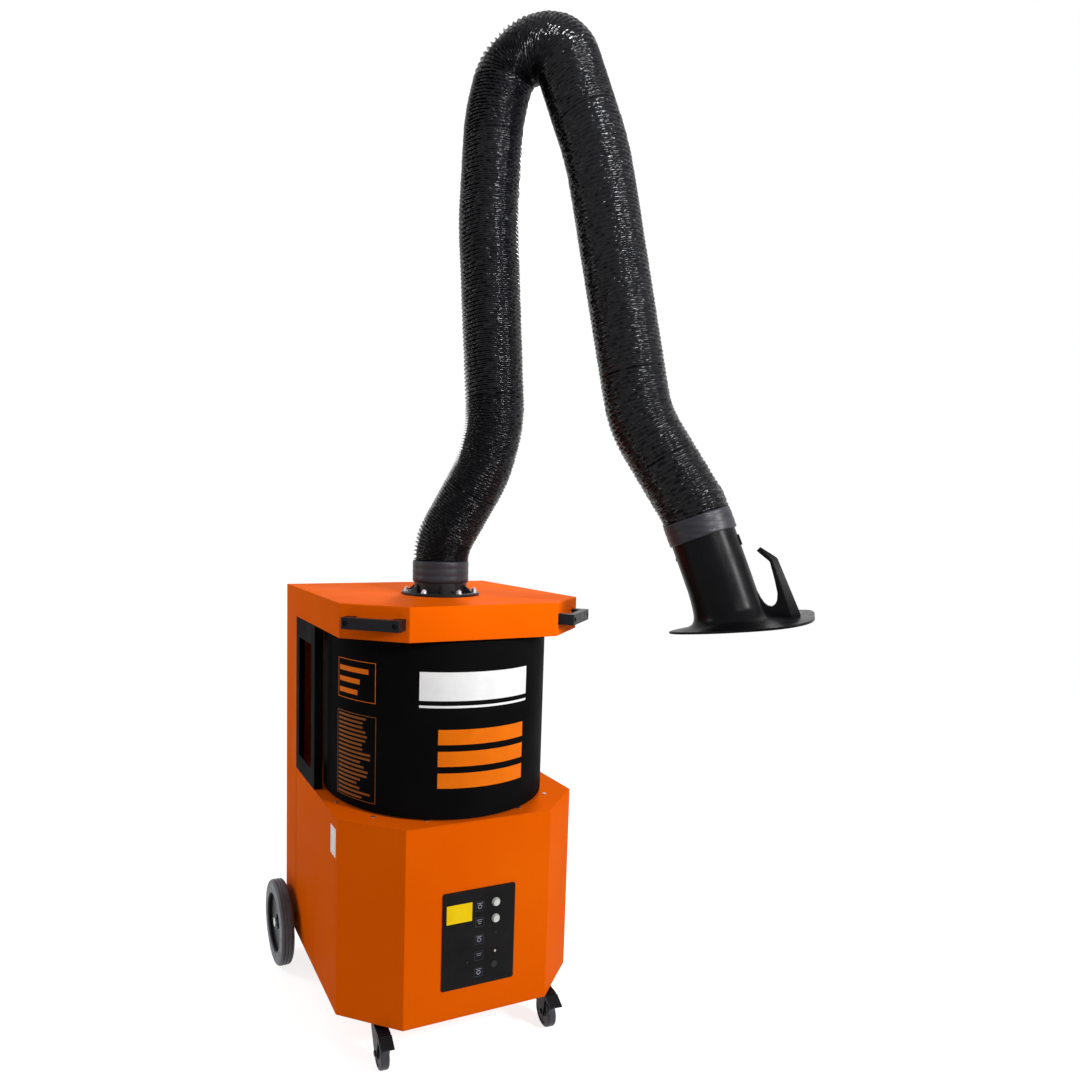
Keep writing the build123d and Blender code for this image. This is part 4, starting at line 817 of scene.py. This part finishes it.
def hose_stretch(name, start, end, ribs, first_rib, material):
    """One stretch of hose: wires that stand out, with the skin drawn in and pleated between them."""
    rows = ribs * rows_per_rib + 1
    across, along, angles = circle(hose_columns)
    outer = np.empty((rows, hose_columns, 3))
    inner = np.empty((ribs + 1, hose_columns, 3))
    aside = np.array(arm_normal)
    for row in range(rows):
        share = row / rows_per_rib
        distance = start + (end - start) * row / (rows - 1)
        place, direction = route.at(distance)
        centre = np.array(in_arm(place))
        out = np.array(arm_direction((-direction[1], direction[0])))
        ring = across[:, None] * out + along[:, None] * aside
        turn = 2 * pi * (share - wire_share)
        cell = int(np.floor(first_rib + share - wire_share))
        wire = int(round(first_rib + share - wire_share))
        draws = np.random.default_rng(pleat_seed + cell)
        phases = draws.uniform(0, 2 * pi, len(pleat_counts))
        skews = draws.uniform(-pleat_skew, pleat_skew, len(pleat_counts))
        cell_share = first_rib + share - wire_share - cell
        pleats = sum(
            np.cos(count * angles + phase + skew * cell_share)
            for count, phase, skew in zip(pleat_counts, phases, skews)
        )
        wander = np.random.default_rng(wire_seed + wire).uniform(-1, 1, 2)
        wobble = wander[0] * np.cos(angles) + wander[1] * np.sin(2 * angles)
        standing = fin_share(distance) * (0.5 + 0.5 * across) ** 2
        crest = (0.5 + 0.5 * cos(turn)) ** (crest_power + fin_crest_power * standing)
        radius = rib_crest_radius - (rib_depth + fin_depth * standing) * (1 - crest)
        radius = radius + pleat_depth * (1 - crest) * (pleats / 2 - 0.5) + wire_wander * crest * wobble
        radius = np.minimum(radius, rib_crest_radius + wire_wander)
        outer[row] = centre + radius[:, None] * ring
        if row % rows_per_rib == 0:
            inner[row // rows_per_rib] = centre + hose_lining_radius * ring
    return closed_tube(name, outer, inner, material)


def bend_between(piece, before, after, start, end):
    """Bakes a stretch of hose that lies between two bodies into the row frame, unbent and on neither
    body.
    """
    first, first_way = route.at(start)
    last, last_way = route.at(end)
    run = Route.direction(first, last)
    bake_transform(piece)


def make_hose(material):
    """All seven stretches of the hose, each on its body or baked in place between two."""
    stretches = [
        ("hose_base", ["arm_base"], tight_rib_pitch),
        ("hose_shoulder_bend", ["arm_base", "lower_arm"], tight_rib_pitch),
        ("hose_lower", ["lower_arm"], loose_rib_pitch),
        ("hose_elbow_bend", ["lower_arm", "upper_arm"], tight_rib_pitch),
        ("hose_upper", ["upper_arm"], loose_rib_pitch),
        ("hose_wrist_bend", ["upper_arm", "end_link"], loose_rib_pitch),
        ("hose_hood_bend", ["end_link", "hood_yoke"], loose_rib_pitch),
    ]
    cuts = hose_cuts()
    first_rib = 0
    for (name, bodies, pitch), start, end in zip(stretches, cuts, cuts[1:]):
        ribs = round((end - start) / pitch)
        piece = hose_stretch(name + "_skin", start, end, ribs, first_rib, material)
        first_rib += ribs
        if len(bodies) == 1:
            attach(piece, bodies[0])
        else:
            bend_between(piece, *bodies, start, end)
        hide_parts(name)


# Cuffs
def cuff_profile(length):
    """The rows of a cuff's skin, as (height, drop of the rounded lip)."""
    rows = []
    for step in range(cuff_rows + 1):
        height = length * step / cuff_rows
        near = min(height, length - height)
        drop = cuff_edge - (cuff_edge**2 - max(cuff_edge - near, 0) ** 2) ** 0.5
        rows.append((height, drop))
    return rows


def make_cuff(name, foot, way, side, length, seed, material):
    """A rubber sleeve around a foot point, with rounded lips and faint swells."""
    across, along, angles = circle(cuff_columns)
    draws = np.random.default_rng(seed)
    phases = draws.uniform(0, 2 * pi, 3)
    foot, way, side = np.array(foot), np.array(way), np.array(side)
    beyond = np.cross(way, side)
    ring = across[:, None] * side + along[:, None] * beyond
    outer = []
    inner = []
    for height, drop in cuff_profile(length):
        twist = cuff_twist_per_metre * height
        swell = cuff_swell * (np.sin(2 * angles + phases[0]) + np.sin(3 * angles + twist + phases[1]))
        bands = cuff_band_height * sin(2 * pi * height / (length / cuff_band_count) + phases[2])
        radius = cuff_bore + cuff_wall - drop + swell + bands
        outer.append(foot + height * way + radius[:, None] * ring)
        inner.append(foot + height * way + cuff_bore * ring)
    return closed_tube(name, np.array(outer), np.array(inner), material)


def make_cuffs(material):
    """The cuff on the arm's neck and the cuff on the hood's neck."""
    low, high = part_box("base_cuff")
    foot = Vector((pivot.x, pivot.y, low.z))
    length = high.z - low.z
    up = (0, 0, 1)
    base = make_cuff("base_cuff_sleeve", foot, up, head, length, base_cuff_seed, material)
    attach(base, "arm_base")
    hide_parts("base_cuff")
    top = in_arm(hood_place(0))
    way, side = arm_direction(hood_down), arm_direction(hood_out)
    length = hood_cuff_length
    upper = make_cuff("hood_cuff_sleeve", top, way, side, length, hood_cuff_seed, material)
    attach(upper, "hood_yoke")
    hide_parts("hood_cuff")


# Hood
def neck_ring(depth, radius):
    """A ring of points around the hood's neck."""
    across, along, _ = circle(hood_columns)
    centre = np.array(in_arm(hood_place(depth)))
    out, aside = np.array(arm_direction(hood_out)), np.array(arm_normal)
    return centre + radius * (across[:, None] * out + along[:, None] * aside)


def rim_ring(rise, half_length, half_width, shift, widening):
    """A ring of points over the hood's rim, wider and squarer towards its outer end."""
    across, along, angles = circle(hood_columns)
    place = (rim_centre[0] - rise * sin(rim_slope), rim_centre[1] + rise * cos(rim_slope))
    out, aside = np.array(arm_direction((cos(rim_slope), sin(rim_slope)))), np.array(arm_normal)
    centre = np.array(in_arm(place)) + shift * out
    push = 1 + rim_corner_share * widening * np.sin(2 * angles) ** 2 * (across > 0)
    reach = half_length * across * push
    side = half_width * along * (1 + widening * across) * push
    return centre + reach[:, None] * out + side[:, None] * aside


def smooth_rows(rows, steps):
    """Rings in between given rings, on smooth curves through them."""
    rows = [np.array(row) for row in rows]
    padded = [2 * rows[0] - rows[1], *rows, 2 * rows[-1] - rows[-2]]
    found = []
    for index in range(1, len(padded) - 2):
        before, here, there, after = padded[index - 1 : index + 3]
        span = np.linalg.norm(there - here, axis=1).mean()
        into = (there - before) * span / np.linalg.norm(there - before, axis=1).mean()
        out = (after - here) * span / np.linalg.norm(after - here, axis=1).mean()
        for step in range(steps):
            t = step / steps
            found.append(
                here * (2 * t**3 - 3 * t**2 + 1)
                + into * (t**3 - 2 * t**2 + t)
                + there * (3 * t**2 - 2 * t**3)
                + out * (t**3 - t**2)
            )
    found.append(rows[-1])
    return found


def make_hood(material):
    """The hood's neck, flare and lip in one skin, inside and outside."""
    lengths, widths = flare_half_lengths, flare_half_widths
    flare = list(zip(flare_rises, lengths, widths, flare_shifts, flare_widenings))
    outside = [neck_ring(depth, neck_radius) for depth in neck_depths]
    outside += [rim_ring(*row) for row in flare]
    inside = [neck_ring(depth, neck_radius - hood_wall) for depth in neck_depths]
    for rise, length, width, *rest in flare:
        inside.append(rim_ring(rise - hood_wall, length - hood_wall, width - hood_wall, *rest))
    outer = smooth_rows(outside, hood_steps)
    lip = lip_height / 2
    for step in range(lip_steps + 1):
        angle = pi / 2 - step * pi / lip_steps
        reach = rim_reach - lip + lip * cos(angle)
        half_width = rim_spread - lip + lip * cos(angle)
        outer.append(rim_ring(lip * (1 + sin(angle)), reach, half_width, 0.0, rim_widening))
    _, length, width, *rest = flare[-1]
    outer.append(rim_ring(0, length - hood_wall, width - hood_wall, *rest))
    inner = smooth_rows(inside, hood_steps)
    hood = closed_tube("hood_moulding", np.array(outer), np.array(inner), material)
    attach(hood, "hood")
    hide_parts("hood_shell")


def make_hook(material):
    """The hook handle on the hood: a flat web whose outer side slopes up to a ridge."""
    mesh = bmesh.new()
    top, middle, bottom = [mesh.verts.new(in_arm(place)) for place in hook_ridge_points]
    face_points = [*hook_inner_points, *hook_facet_points, hook_heel]
    sides = []
    for side in (-1, 1):
        aside = side * hook_half_thickness
        points = [mesh.verts.new(in_arm(place, aside)) for place in face_points]
        sides.append(points)
        mesh.faces.new(points)
    near, far = sides
    tip = len(hook_inner_points) - 1
    for first in [*range(tip), len(face_points) - 1]:
        second = (first + 1) % len(face_points)
        mesh.faces.new([near[first], near[second], far[second], far[first]])
    for points in sides:
        mesh.faces.new([points[tip], top, points[tip + 1]])
        mesh.faces.new([points[tip + 1], top, middle, points[tip + 2]])
        mesh.faces.new([points[tip + 2], middle, bottom, points[tip + 3]])
        mesh.faces.new([points[tip + 3], bottom, points[tip + 4]])
    mesh.faces.new([near[tip], far[tip], top])
    mesh.faces.new([near[-1], bottom, far[-1]])
    bmesh.ops.recalc_face_normals(mesh, faces=mesh.faces)
    sharp = [edge for edge in mesh.edges if edge.calc_face_angle(0.0) > hook_sharp_angle]
    bmesh.ops.bevel(
        mesh,
        geom=sharp,
        offset=hook_edge,
        segments=3,
        profile=0.6,
        affect="EDGES",
        clamp_overlap=True,
    )
    data = bpy.data.meshes.new("hook_handle")
    mesh.to_mesh(data)
    mesh.free()
    data.polygons.foreach_set("use_smooth", [True] * len(data.polygons))
    data.materials.append(material)
    hook = bpy.data.objects.new("hook_handle", data)
    bpy.context.scene.collection.objects.link(hook)
    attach(hook, "hood")
    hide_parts("hood_hook")


# Printed fields on the drum
def drum_point(degrees, height, lift):
    """A point on the drum's skin, by its angle from the front."""
    radius = (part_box("filter_drum")[1].x - drum_middle.x) + lift
    angle = radians(degrees)
    across, along = drum_middle.x + radius * sin(angle), drum_middle.y - radius * cos(angle)
    return Vector((across, along, height))


def drum_field(name, field, material):
    """A thin printed field that follows the drum's curve."""
    left, right, low, high = field
    columns = max(2, round((right - left) / field_step_degrees))
    vertices = []
    for depth in (field_back, field_lift):
        for height in (low, high):
            for column in range(columns + 1):
                vertices.append(drum_point(left + (right - left) * column / columns, height, depth))
    row = columns + 1
    faces = []
    for column in range(columns):
        back = [column, column + 1, row + column + 1, row + column]
        front = [2 * row + corner for corner in back]
        faces.append(back[::-1])
        faces.append(front)
        faces.append([column, column + 1, 2 * row + column + 1, 2 * row + column])
        faces.append([row + column, 3 * row + column, 3 * row + column + 1, row + column + 1])
    faces.append([0, 2 * row, 3 * row, row])
    faces.append([columns, row + columns, 3 * row + columns, 2 * row + columns])
    piece = make_object(name, vertices, faces, material, smooth=False)
    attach(piece, "filter_drum")


def ruled_form(name, field, rows, bar_share, material):
    """A frame line around rows of plain bars, like an empty form."""
    left, right, low, high = field
    degree_run = radians(1) * (drum_middle.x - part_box("filter_drum")[0].x)
    thin = frame_line / degree_run
    drum_field(name + "_low_line", (left, right, low, low + frame_line), material)
    drum_field(name + "_high_line", (left, right, high - frame_line, high), material)
    drum_field(name + "_left_line", (left, left + thin, low, high), material)
    drum_field(name + "_right_line", (right - thin, right, low, high), material)
    pitch = (high - low) / (rows + form_spare_rows)
    widths = np.random.default_rng(rows).uniform(*form_bar_width_shares, rows)
    begin = left + form_margin_degrees
    for row in range(rows):
        bottom = low + (row + form_first_row_share) * pitch
        end = begin + (right - left - 2 * form_margin_degrees) * widths[row]
        bar = (begin, end, bottom, bottom + pitch * bar_share)
        drum_field(f"{name}_row_{row + 1}", bar, material)


def make_prints(white, orange, brown):
    """Plain fields where the drum is printed: a white one, orange stripes and two empty forms."""
    drum_field("print_white_field", white_field, white)
    drum_field("print_white_line", white_line, white)
    for number, field in enumerate(orange_fields):
        drum_field(f"print_orange_stripe_{number + 1}", field, orange)
    ruled_form("print_small_form", small_frame, small_rows, small_bar_share, orange)
    ruled_form("print_tall_form", tall_frame, tall_rows, tall_bar_share, brown)


# Marks on the panel
def flat_plate(name, left, right, low, high, material, rounding=0.0):
    """A thin plate on the panel's face, in places from the panel's middle."""
    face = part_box("control_panel")[0].y
    middle = middle_of("control_panel")
    mesh = bmesh.new()
    corners = [(left, low), (right, low), (right, high), (left, high)]
    front = [mesh.verts.new((middle.x + x, face - mark_lift, middle.z + z)) for x, z in corners]
    plate = mesh.faces.new(front)
    made = bmesh.ops.extrude_face_region(mesh, geom=[plate])
    moved = [item for item in made["geom"] if isinstance(item, bmesh.types.BMVert)]
    bmesh.ops.translate(mesh, verts=moved, vec=(0, mark_lift - mark_back, 0))
    bmesh.ops.recalc_face_normals(mesh, faces=mesh.faces)
    if rounding:
        depths = [(edge, abs(edge.verts[0].co.y - edge.verts[1].co.y)) for edge in mesh.edges]
        corner_edges = [edge for edge, depth in depths if depth > mark_lift / 2]
        bmesh.ops.bevel(
            mesh,
            geom=corner_edges,
            offset=rounding,
            segments=3,
            profile=0.5,
            affect="EDGES",
        )
    data = bpy.data.meshes.new(name)
    mesh.to_mesh(data)
    mesh.free()
    data.materials.append(material)
    piece = bpy.data.objects.new(name, data)
    bpy.context.scene.collection.objects.link(piece)
    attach(piece, "cabinet")


def panel_ring(name, across, up, material):
    """A thin flat ring on the panel's face."""
    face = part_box("control_panel")[0].y
    middle = middle_of("control_panel")
    across_turn, up_turn, _ = circle(ring_columns)
    hole = ring_radius - ring_width
    profile = [(ring_radius, mark_back), (ring_radius, mark_lift), (hole, mark_lift), (hole, mark_back)]
    rings = []
    for reach, depth in profile:
        ring = np.empty((ring_columns, 3))
        ring[:, 0] = middle.x + across + reach * across_turn
        ring[:, 1] = face - depth
        ring[:, 2] = middle.z + up + reach * up_turn
        rings.append(ring)
    vertices = np.concatenate(rings)
    last = (len(profile) - 1) * ring_columns
    faces = grid_faces(len(profile), ring_columns, flip=True)
    faces += ring_faces(last, 0, ring_columns, flip=True)
    piece = make_object(name, vertices, faces, material, smooth=False)
    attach(piece, "cabinet")


def make_tile(number, height, pale, faint):
    """A square outline with a plain mark in it: a bar over a ring, or bars."""
    half = tile_size / 2
    left, right = tile_across - half, tile_across + half
    low, high = height - half, height + half
    line = tile_line
    sides = [
        (left, right, low, low + line),
        (left, right, high - line, high),
        (left, left + line, low, high),
        (right - line, right, low, high),
    ]
    for side, place in enumerate(sides):
        flat_plate(f"tile_{number}_side_{side + 1}", *place, faint)
    ringed = number % 2 == 1
    if ringed:
        panel_ring(f"tile_{number}_ring", tile_across, height - ring_drop, pale)
    for bar in range(1 if ringed else number % 3 + 1):
        bottom = height + (bar_above_ring if ringed else bar_top - bar * bar_pitch)
        reach = bar_reach - bar * bar_shortening
        place = (tile_across - reach, tile_across + reach, bottom, bottom + bar_height)
        flat_plate(f"tile_{number}_bar_{bar + 1}", *place, pale)


def make_side_label(white):
    """The small plain label on the left side."""
    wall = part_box("lower_shell")[0]
    near, far, low, high = side_label
    vertices = []
    for depth in (mark_back, label_lift):
        for back, height in ((near, low), (far, low), (far, high), (near, high)):
            vertices.append((wall.x - depth, wall.y + back, height))
    faces = [[0, 1, 2, 3], [7, 6, 5, 4], [0, 4, 5, 1], [1, 5, 6, 2], [2, 6, 7, 3], [3, 7, 4, 0]]
    piece = make_object("side_label", vertices, faces, white, smooth=False)
    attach(piece, "cabinet")


def make_panel_marks(yellow, pale, faint):
    """The plain yellow plate and the five small tiles."""
    flat_plate("yellow_plate", *sticker, yellow, rounding=sticker_rounding)
    for number, height in enumerate(tile_heights):
        make_tile(number + 1, height, pale, faint)


# Finishes of the CAD nodes
def paint(names, material):
    """Gives CAD nodes a finish."""
    for name in names:
        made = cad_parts[name]
        if not made.data.materials:
            made.data.materials.append(material)
        for slot in made.material_slots:
            slot.material = material


def paint_frame():
    """Every CAD node that stays in view, by its finish."""
    cover_low, cover_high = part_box("top_cover")
    lamp_low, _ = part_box("indicator_lamps")
    bay_back = cover_low.y + column_front + bay_overrun
    # Painted shade: the rear column's front, deep in the bay behind the slots, is coloured near black
    # where shade falls
    painted_shade_bay = ("Y", -far_away, bay_back, colour(14, 13, 13))
    dark_screws = ("Z", cover_low.z, cover_high.z - screw_zone_drop, colour(20, 20, 22))
    lamp_zone = [lamp_low.z + level for level in lamp_pale]
    pale_lamp = ("Z", *lamp_zone, colour(206, 198, 178))
    arm = arm_coat()
    bright = zinc()
    grained = handle_plastic()
    grey = grey_plastic()
    tyre_dark = tyre("tyre_rubber", colour(106, 109, 115), colour(78, 80, 86))
    caster_dark = tyre("caster_rubber", colour(70, 71, 77), colour(50, 51, 56))
    orange_nodes = ["base_plate", "lower_shell", "deck_plate", "top_cover", "top_cover_floor"]
    paint(orange_nodes, orange_coat("orange_powder_coat"))
    # The rear column's orange coat carries painted shade in the bay
    paint(["rear_column"], orange_coat("orange_coat_painted_shade_bay", painted_shade_bay))
    paint(["side_cover_left", "side_cover_right", "filter_drum", "exhaust_grille"], black_coat())
    paint(["arm_flange", "arm_neck", "damper", "caster_heads", "axle_brackets"], arm)
    paint(["wheel_axle", "spark_trap", "control_box", "motor_bracket"], bright)
    paint(["cabinet_screws"], zinc("zinc_screws", dark_screws))
    paint(["base_strut", "lower_arm_bar", "upper_arm_bar", "end_link", "hood_yoke"], alloy())
    paint(["grab_handle_left", "grab_handle_right", "cable_gland"], grained)
    paint([f"caster_fork_{side}" for side in ("left", "right")], grained)
    paint([f"caster_pedal_{side}" for side in ("left", "right")], grained)
    paint(["rear_rim_left", "rear_rim_right"], grained)
    paint(["rear_tyre_left", "rear_tyre_right"], tyre_dark)
    paint(["caster_wheel_left", "caster_wheel_right"], caster_dark)
    paint(["filter_seals"], seal_rubber())
    paint(["filter_pleats"], paper())
    paint(["blower_housing", "blower_motor", "impeller", "electronics"], grey)
    paint(["control_panel"], panel_film())
    paint(["button_bezels"], button_silver("bezel_silver", 186))
    paint(["start_button", "stop_button"], button_silver("button_white", 226))
    paint(["indicator_lamps"], lamp_lens(pale_lamp))


# Stage
def make_floor():
    """A pale floor that is white to the camera and keeps the object's shadow."""
    material = bpy.data.materials.new("pale_floor")
    material.use_nodes = True
    tree = material.node_tree
    shader = tree.nodes["Principled BSDF"]
    shader.inputs["Base Color"].default_value = (floor_grey, floor_grey, floor_grey, 1)
    shader.inputs["Roughness"].default_value = floor_roughness
    shader.inputs["Specular IOR Level"].default_value = 0.0
    shader.inputs["Emission Color"].default_value = (1, 1, 1, 1)
    tree.links.new(seen_directly(tree, floor_glow), shader.inputs["Emission Strength"])
    corners = [(x * floor_reach, y * floor_reach, 0) for x, y in ((-1, -1), (1, -1), (1, 1), (-1, 1))]
    floor = make_object("floor", corners, [[0, 1, 2, 3]], material, smooth=False)


def seen_directly(tree, amount):
    """An amount for rays that show the background: camera, glossy and transmission rays."""
    path = add_node(tree, "ShaderNodeLightPath")
    total = path.outputs["Is Camera Ray"]
    for output in ("Is Glossy Ray", "Is Transmission Ray"):
        larger = add_node(tree, "ShaderNodeMath", operation="MAXIMUM")
        tree.links.new(total, larger.inputs[0])
        tree.links.new(path.outputs[output], larger.inputs[1])
        total = larger.outputs[0]
    return spread(tree, total, 0.0, amount, 0.0, 1.0)


def make_world():
    """Even light from all round, and white where the background shows."""
    world = bpy.data.worlds.new("studio")
    bpy.context.scene.world = world
    world.use_nodes = True
    tree = world.node_tree
    background = tree.nodes["Background"]
    background.inputs["Color"].default_value = (1, 1, 1, 1)
    shown = seen_directly(tree, 1.0 - ambient_light)
    total = add_node(tree, "ShaderNodeMath", {1: ambient_light}, operation="ADD")
    tree.links.new(shown, total.inputs[0])
    tree.links.new(total.outputs[0], background.inputs["Strength"])


def area_light(name, place, aim, size, power, cone=180):
    """A soft box in metres that looks at a point, with a power in watts and a cone in degrees."""
    data = bpy.data.lights.new(name, "AREA")
    data.shape = "RECTANGLE"
    data.size, data.size_y = size
    data.energy = power
    data.spread = radians(cone)
    made = bpy.data.objects.new(name, data)
    bpy.context.scene.collection.objects.link(made)
    made.location = place
    made.rotation_euler = (Vector(aim) - Vector(place)).to_track_quat("-Z", "Y").to_euler()


def make_lights():
    """A key from the right in front, one from the left behind, one each for arm and top cover."""
    key_place, key_aim = (1.45, -2.65, 2.2), (0, 0, 1.1)
    behind_place, behind_aim = (-2.6, 1.2, 1.8), (-0.4, 0.2, 0.9)
    arm_place, arm_aim = (0.1, -3.0, 2.7), (0.2, 0, 2.3)
    cover_place, cover_aim = (1.2, 1.5, 3.2), (-0.15, -0.1, 1.19)
    area_light("key", key_place, key_aim, size=(0.5, 0.7), power=80)
    area_light("left_behind", behind_place, behind_aim, size=(0.3, 0.7), power=16)
    area_light("arm_front", arm_place, arm_aim, size=(0.4, 0.5), power=17, cone=48)
    area_light("cover_top", cover_place, cover_aim, size=(0.5, 0.5), power=6, cone=60)


def make_camera():
    """The photograph's camera, from its place, its turn and its lens."""
    yaw, pitch, roll = camera_yaw, camera_pitch, camera_roll
    forward = Vector((sin(yaw) * cos(pitch), cos(yaw) * cos(pitch), -sin(pitch)))
    level = Vector((cos(yaw), -sin(yaw), 0))
    upright = level.cross(forward)
    right = level * cos(roll) + upright * sin(roll)
    up = upright * cos(roll) - level * sin(roll)
    data = bpy.data.cameras.new("camera")
    data.sensor_width = sensor_width
    data.lens = focal_pixels / picture_pixels * sensor_width
    data.shift_x = 0.5 - middle_pixel[0] / picture_pixels
    data.shift_y = middle_pixel[1] / picture_pixels - 0.5
    made = bpy.data.objects.new("camera", data)
    bpy.context.scene.collection.objects.link(made)
    turn = Matrix((right, up, -forward)).transposed().to_4x4()
    made.matrix_world = Matrix.Translation(camera_place) @ turn
    bpy.context.scene.camera = made


# The scene
make_camera()
paint_frame()
make_hose(hose_skin())
make_cuffs(cuff_rubber())
hood_plastic = hood_gloss()
make_hood(hood_plastic)
make_hook(hood_plastic)
orange_ink = print_ink("print_orange", colour(240, 118, 0), colour(232, 110, 0))
white_ink = print_ink("print_white", colour(246, 246, 246), colour(236, 236, 236))
make_side_label(white_ink)
make_prints(
    white_ink,
    orange_ink,
    print_ink("print_brown", colour(150, 84, 26), colour(132, 72, 22)),
)
make_panel_marks(
    print_ink("plate_yellow", colour(252, 216, 10), colour(244, 200, 4)),
    print_ink("tile_pale", colour(176, 178, 192), colour(120, 122, 136)),
    print_ink("tile_faint", colour(78, 80, 92), colour(52, 54, 64)),
)
make_floor()
make_world()
make_lights()
bpy.context.scene.view_settings.view_transform = "Standard"
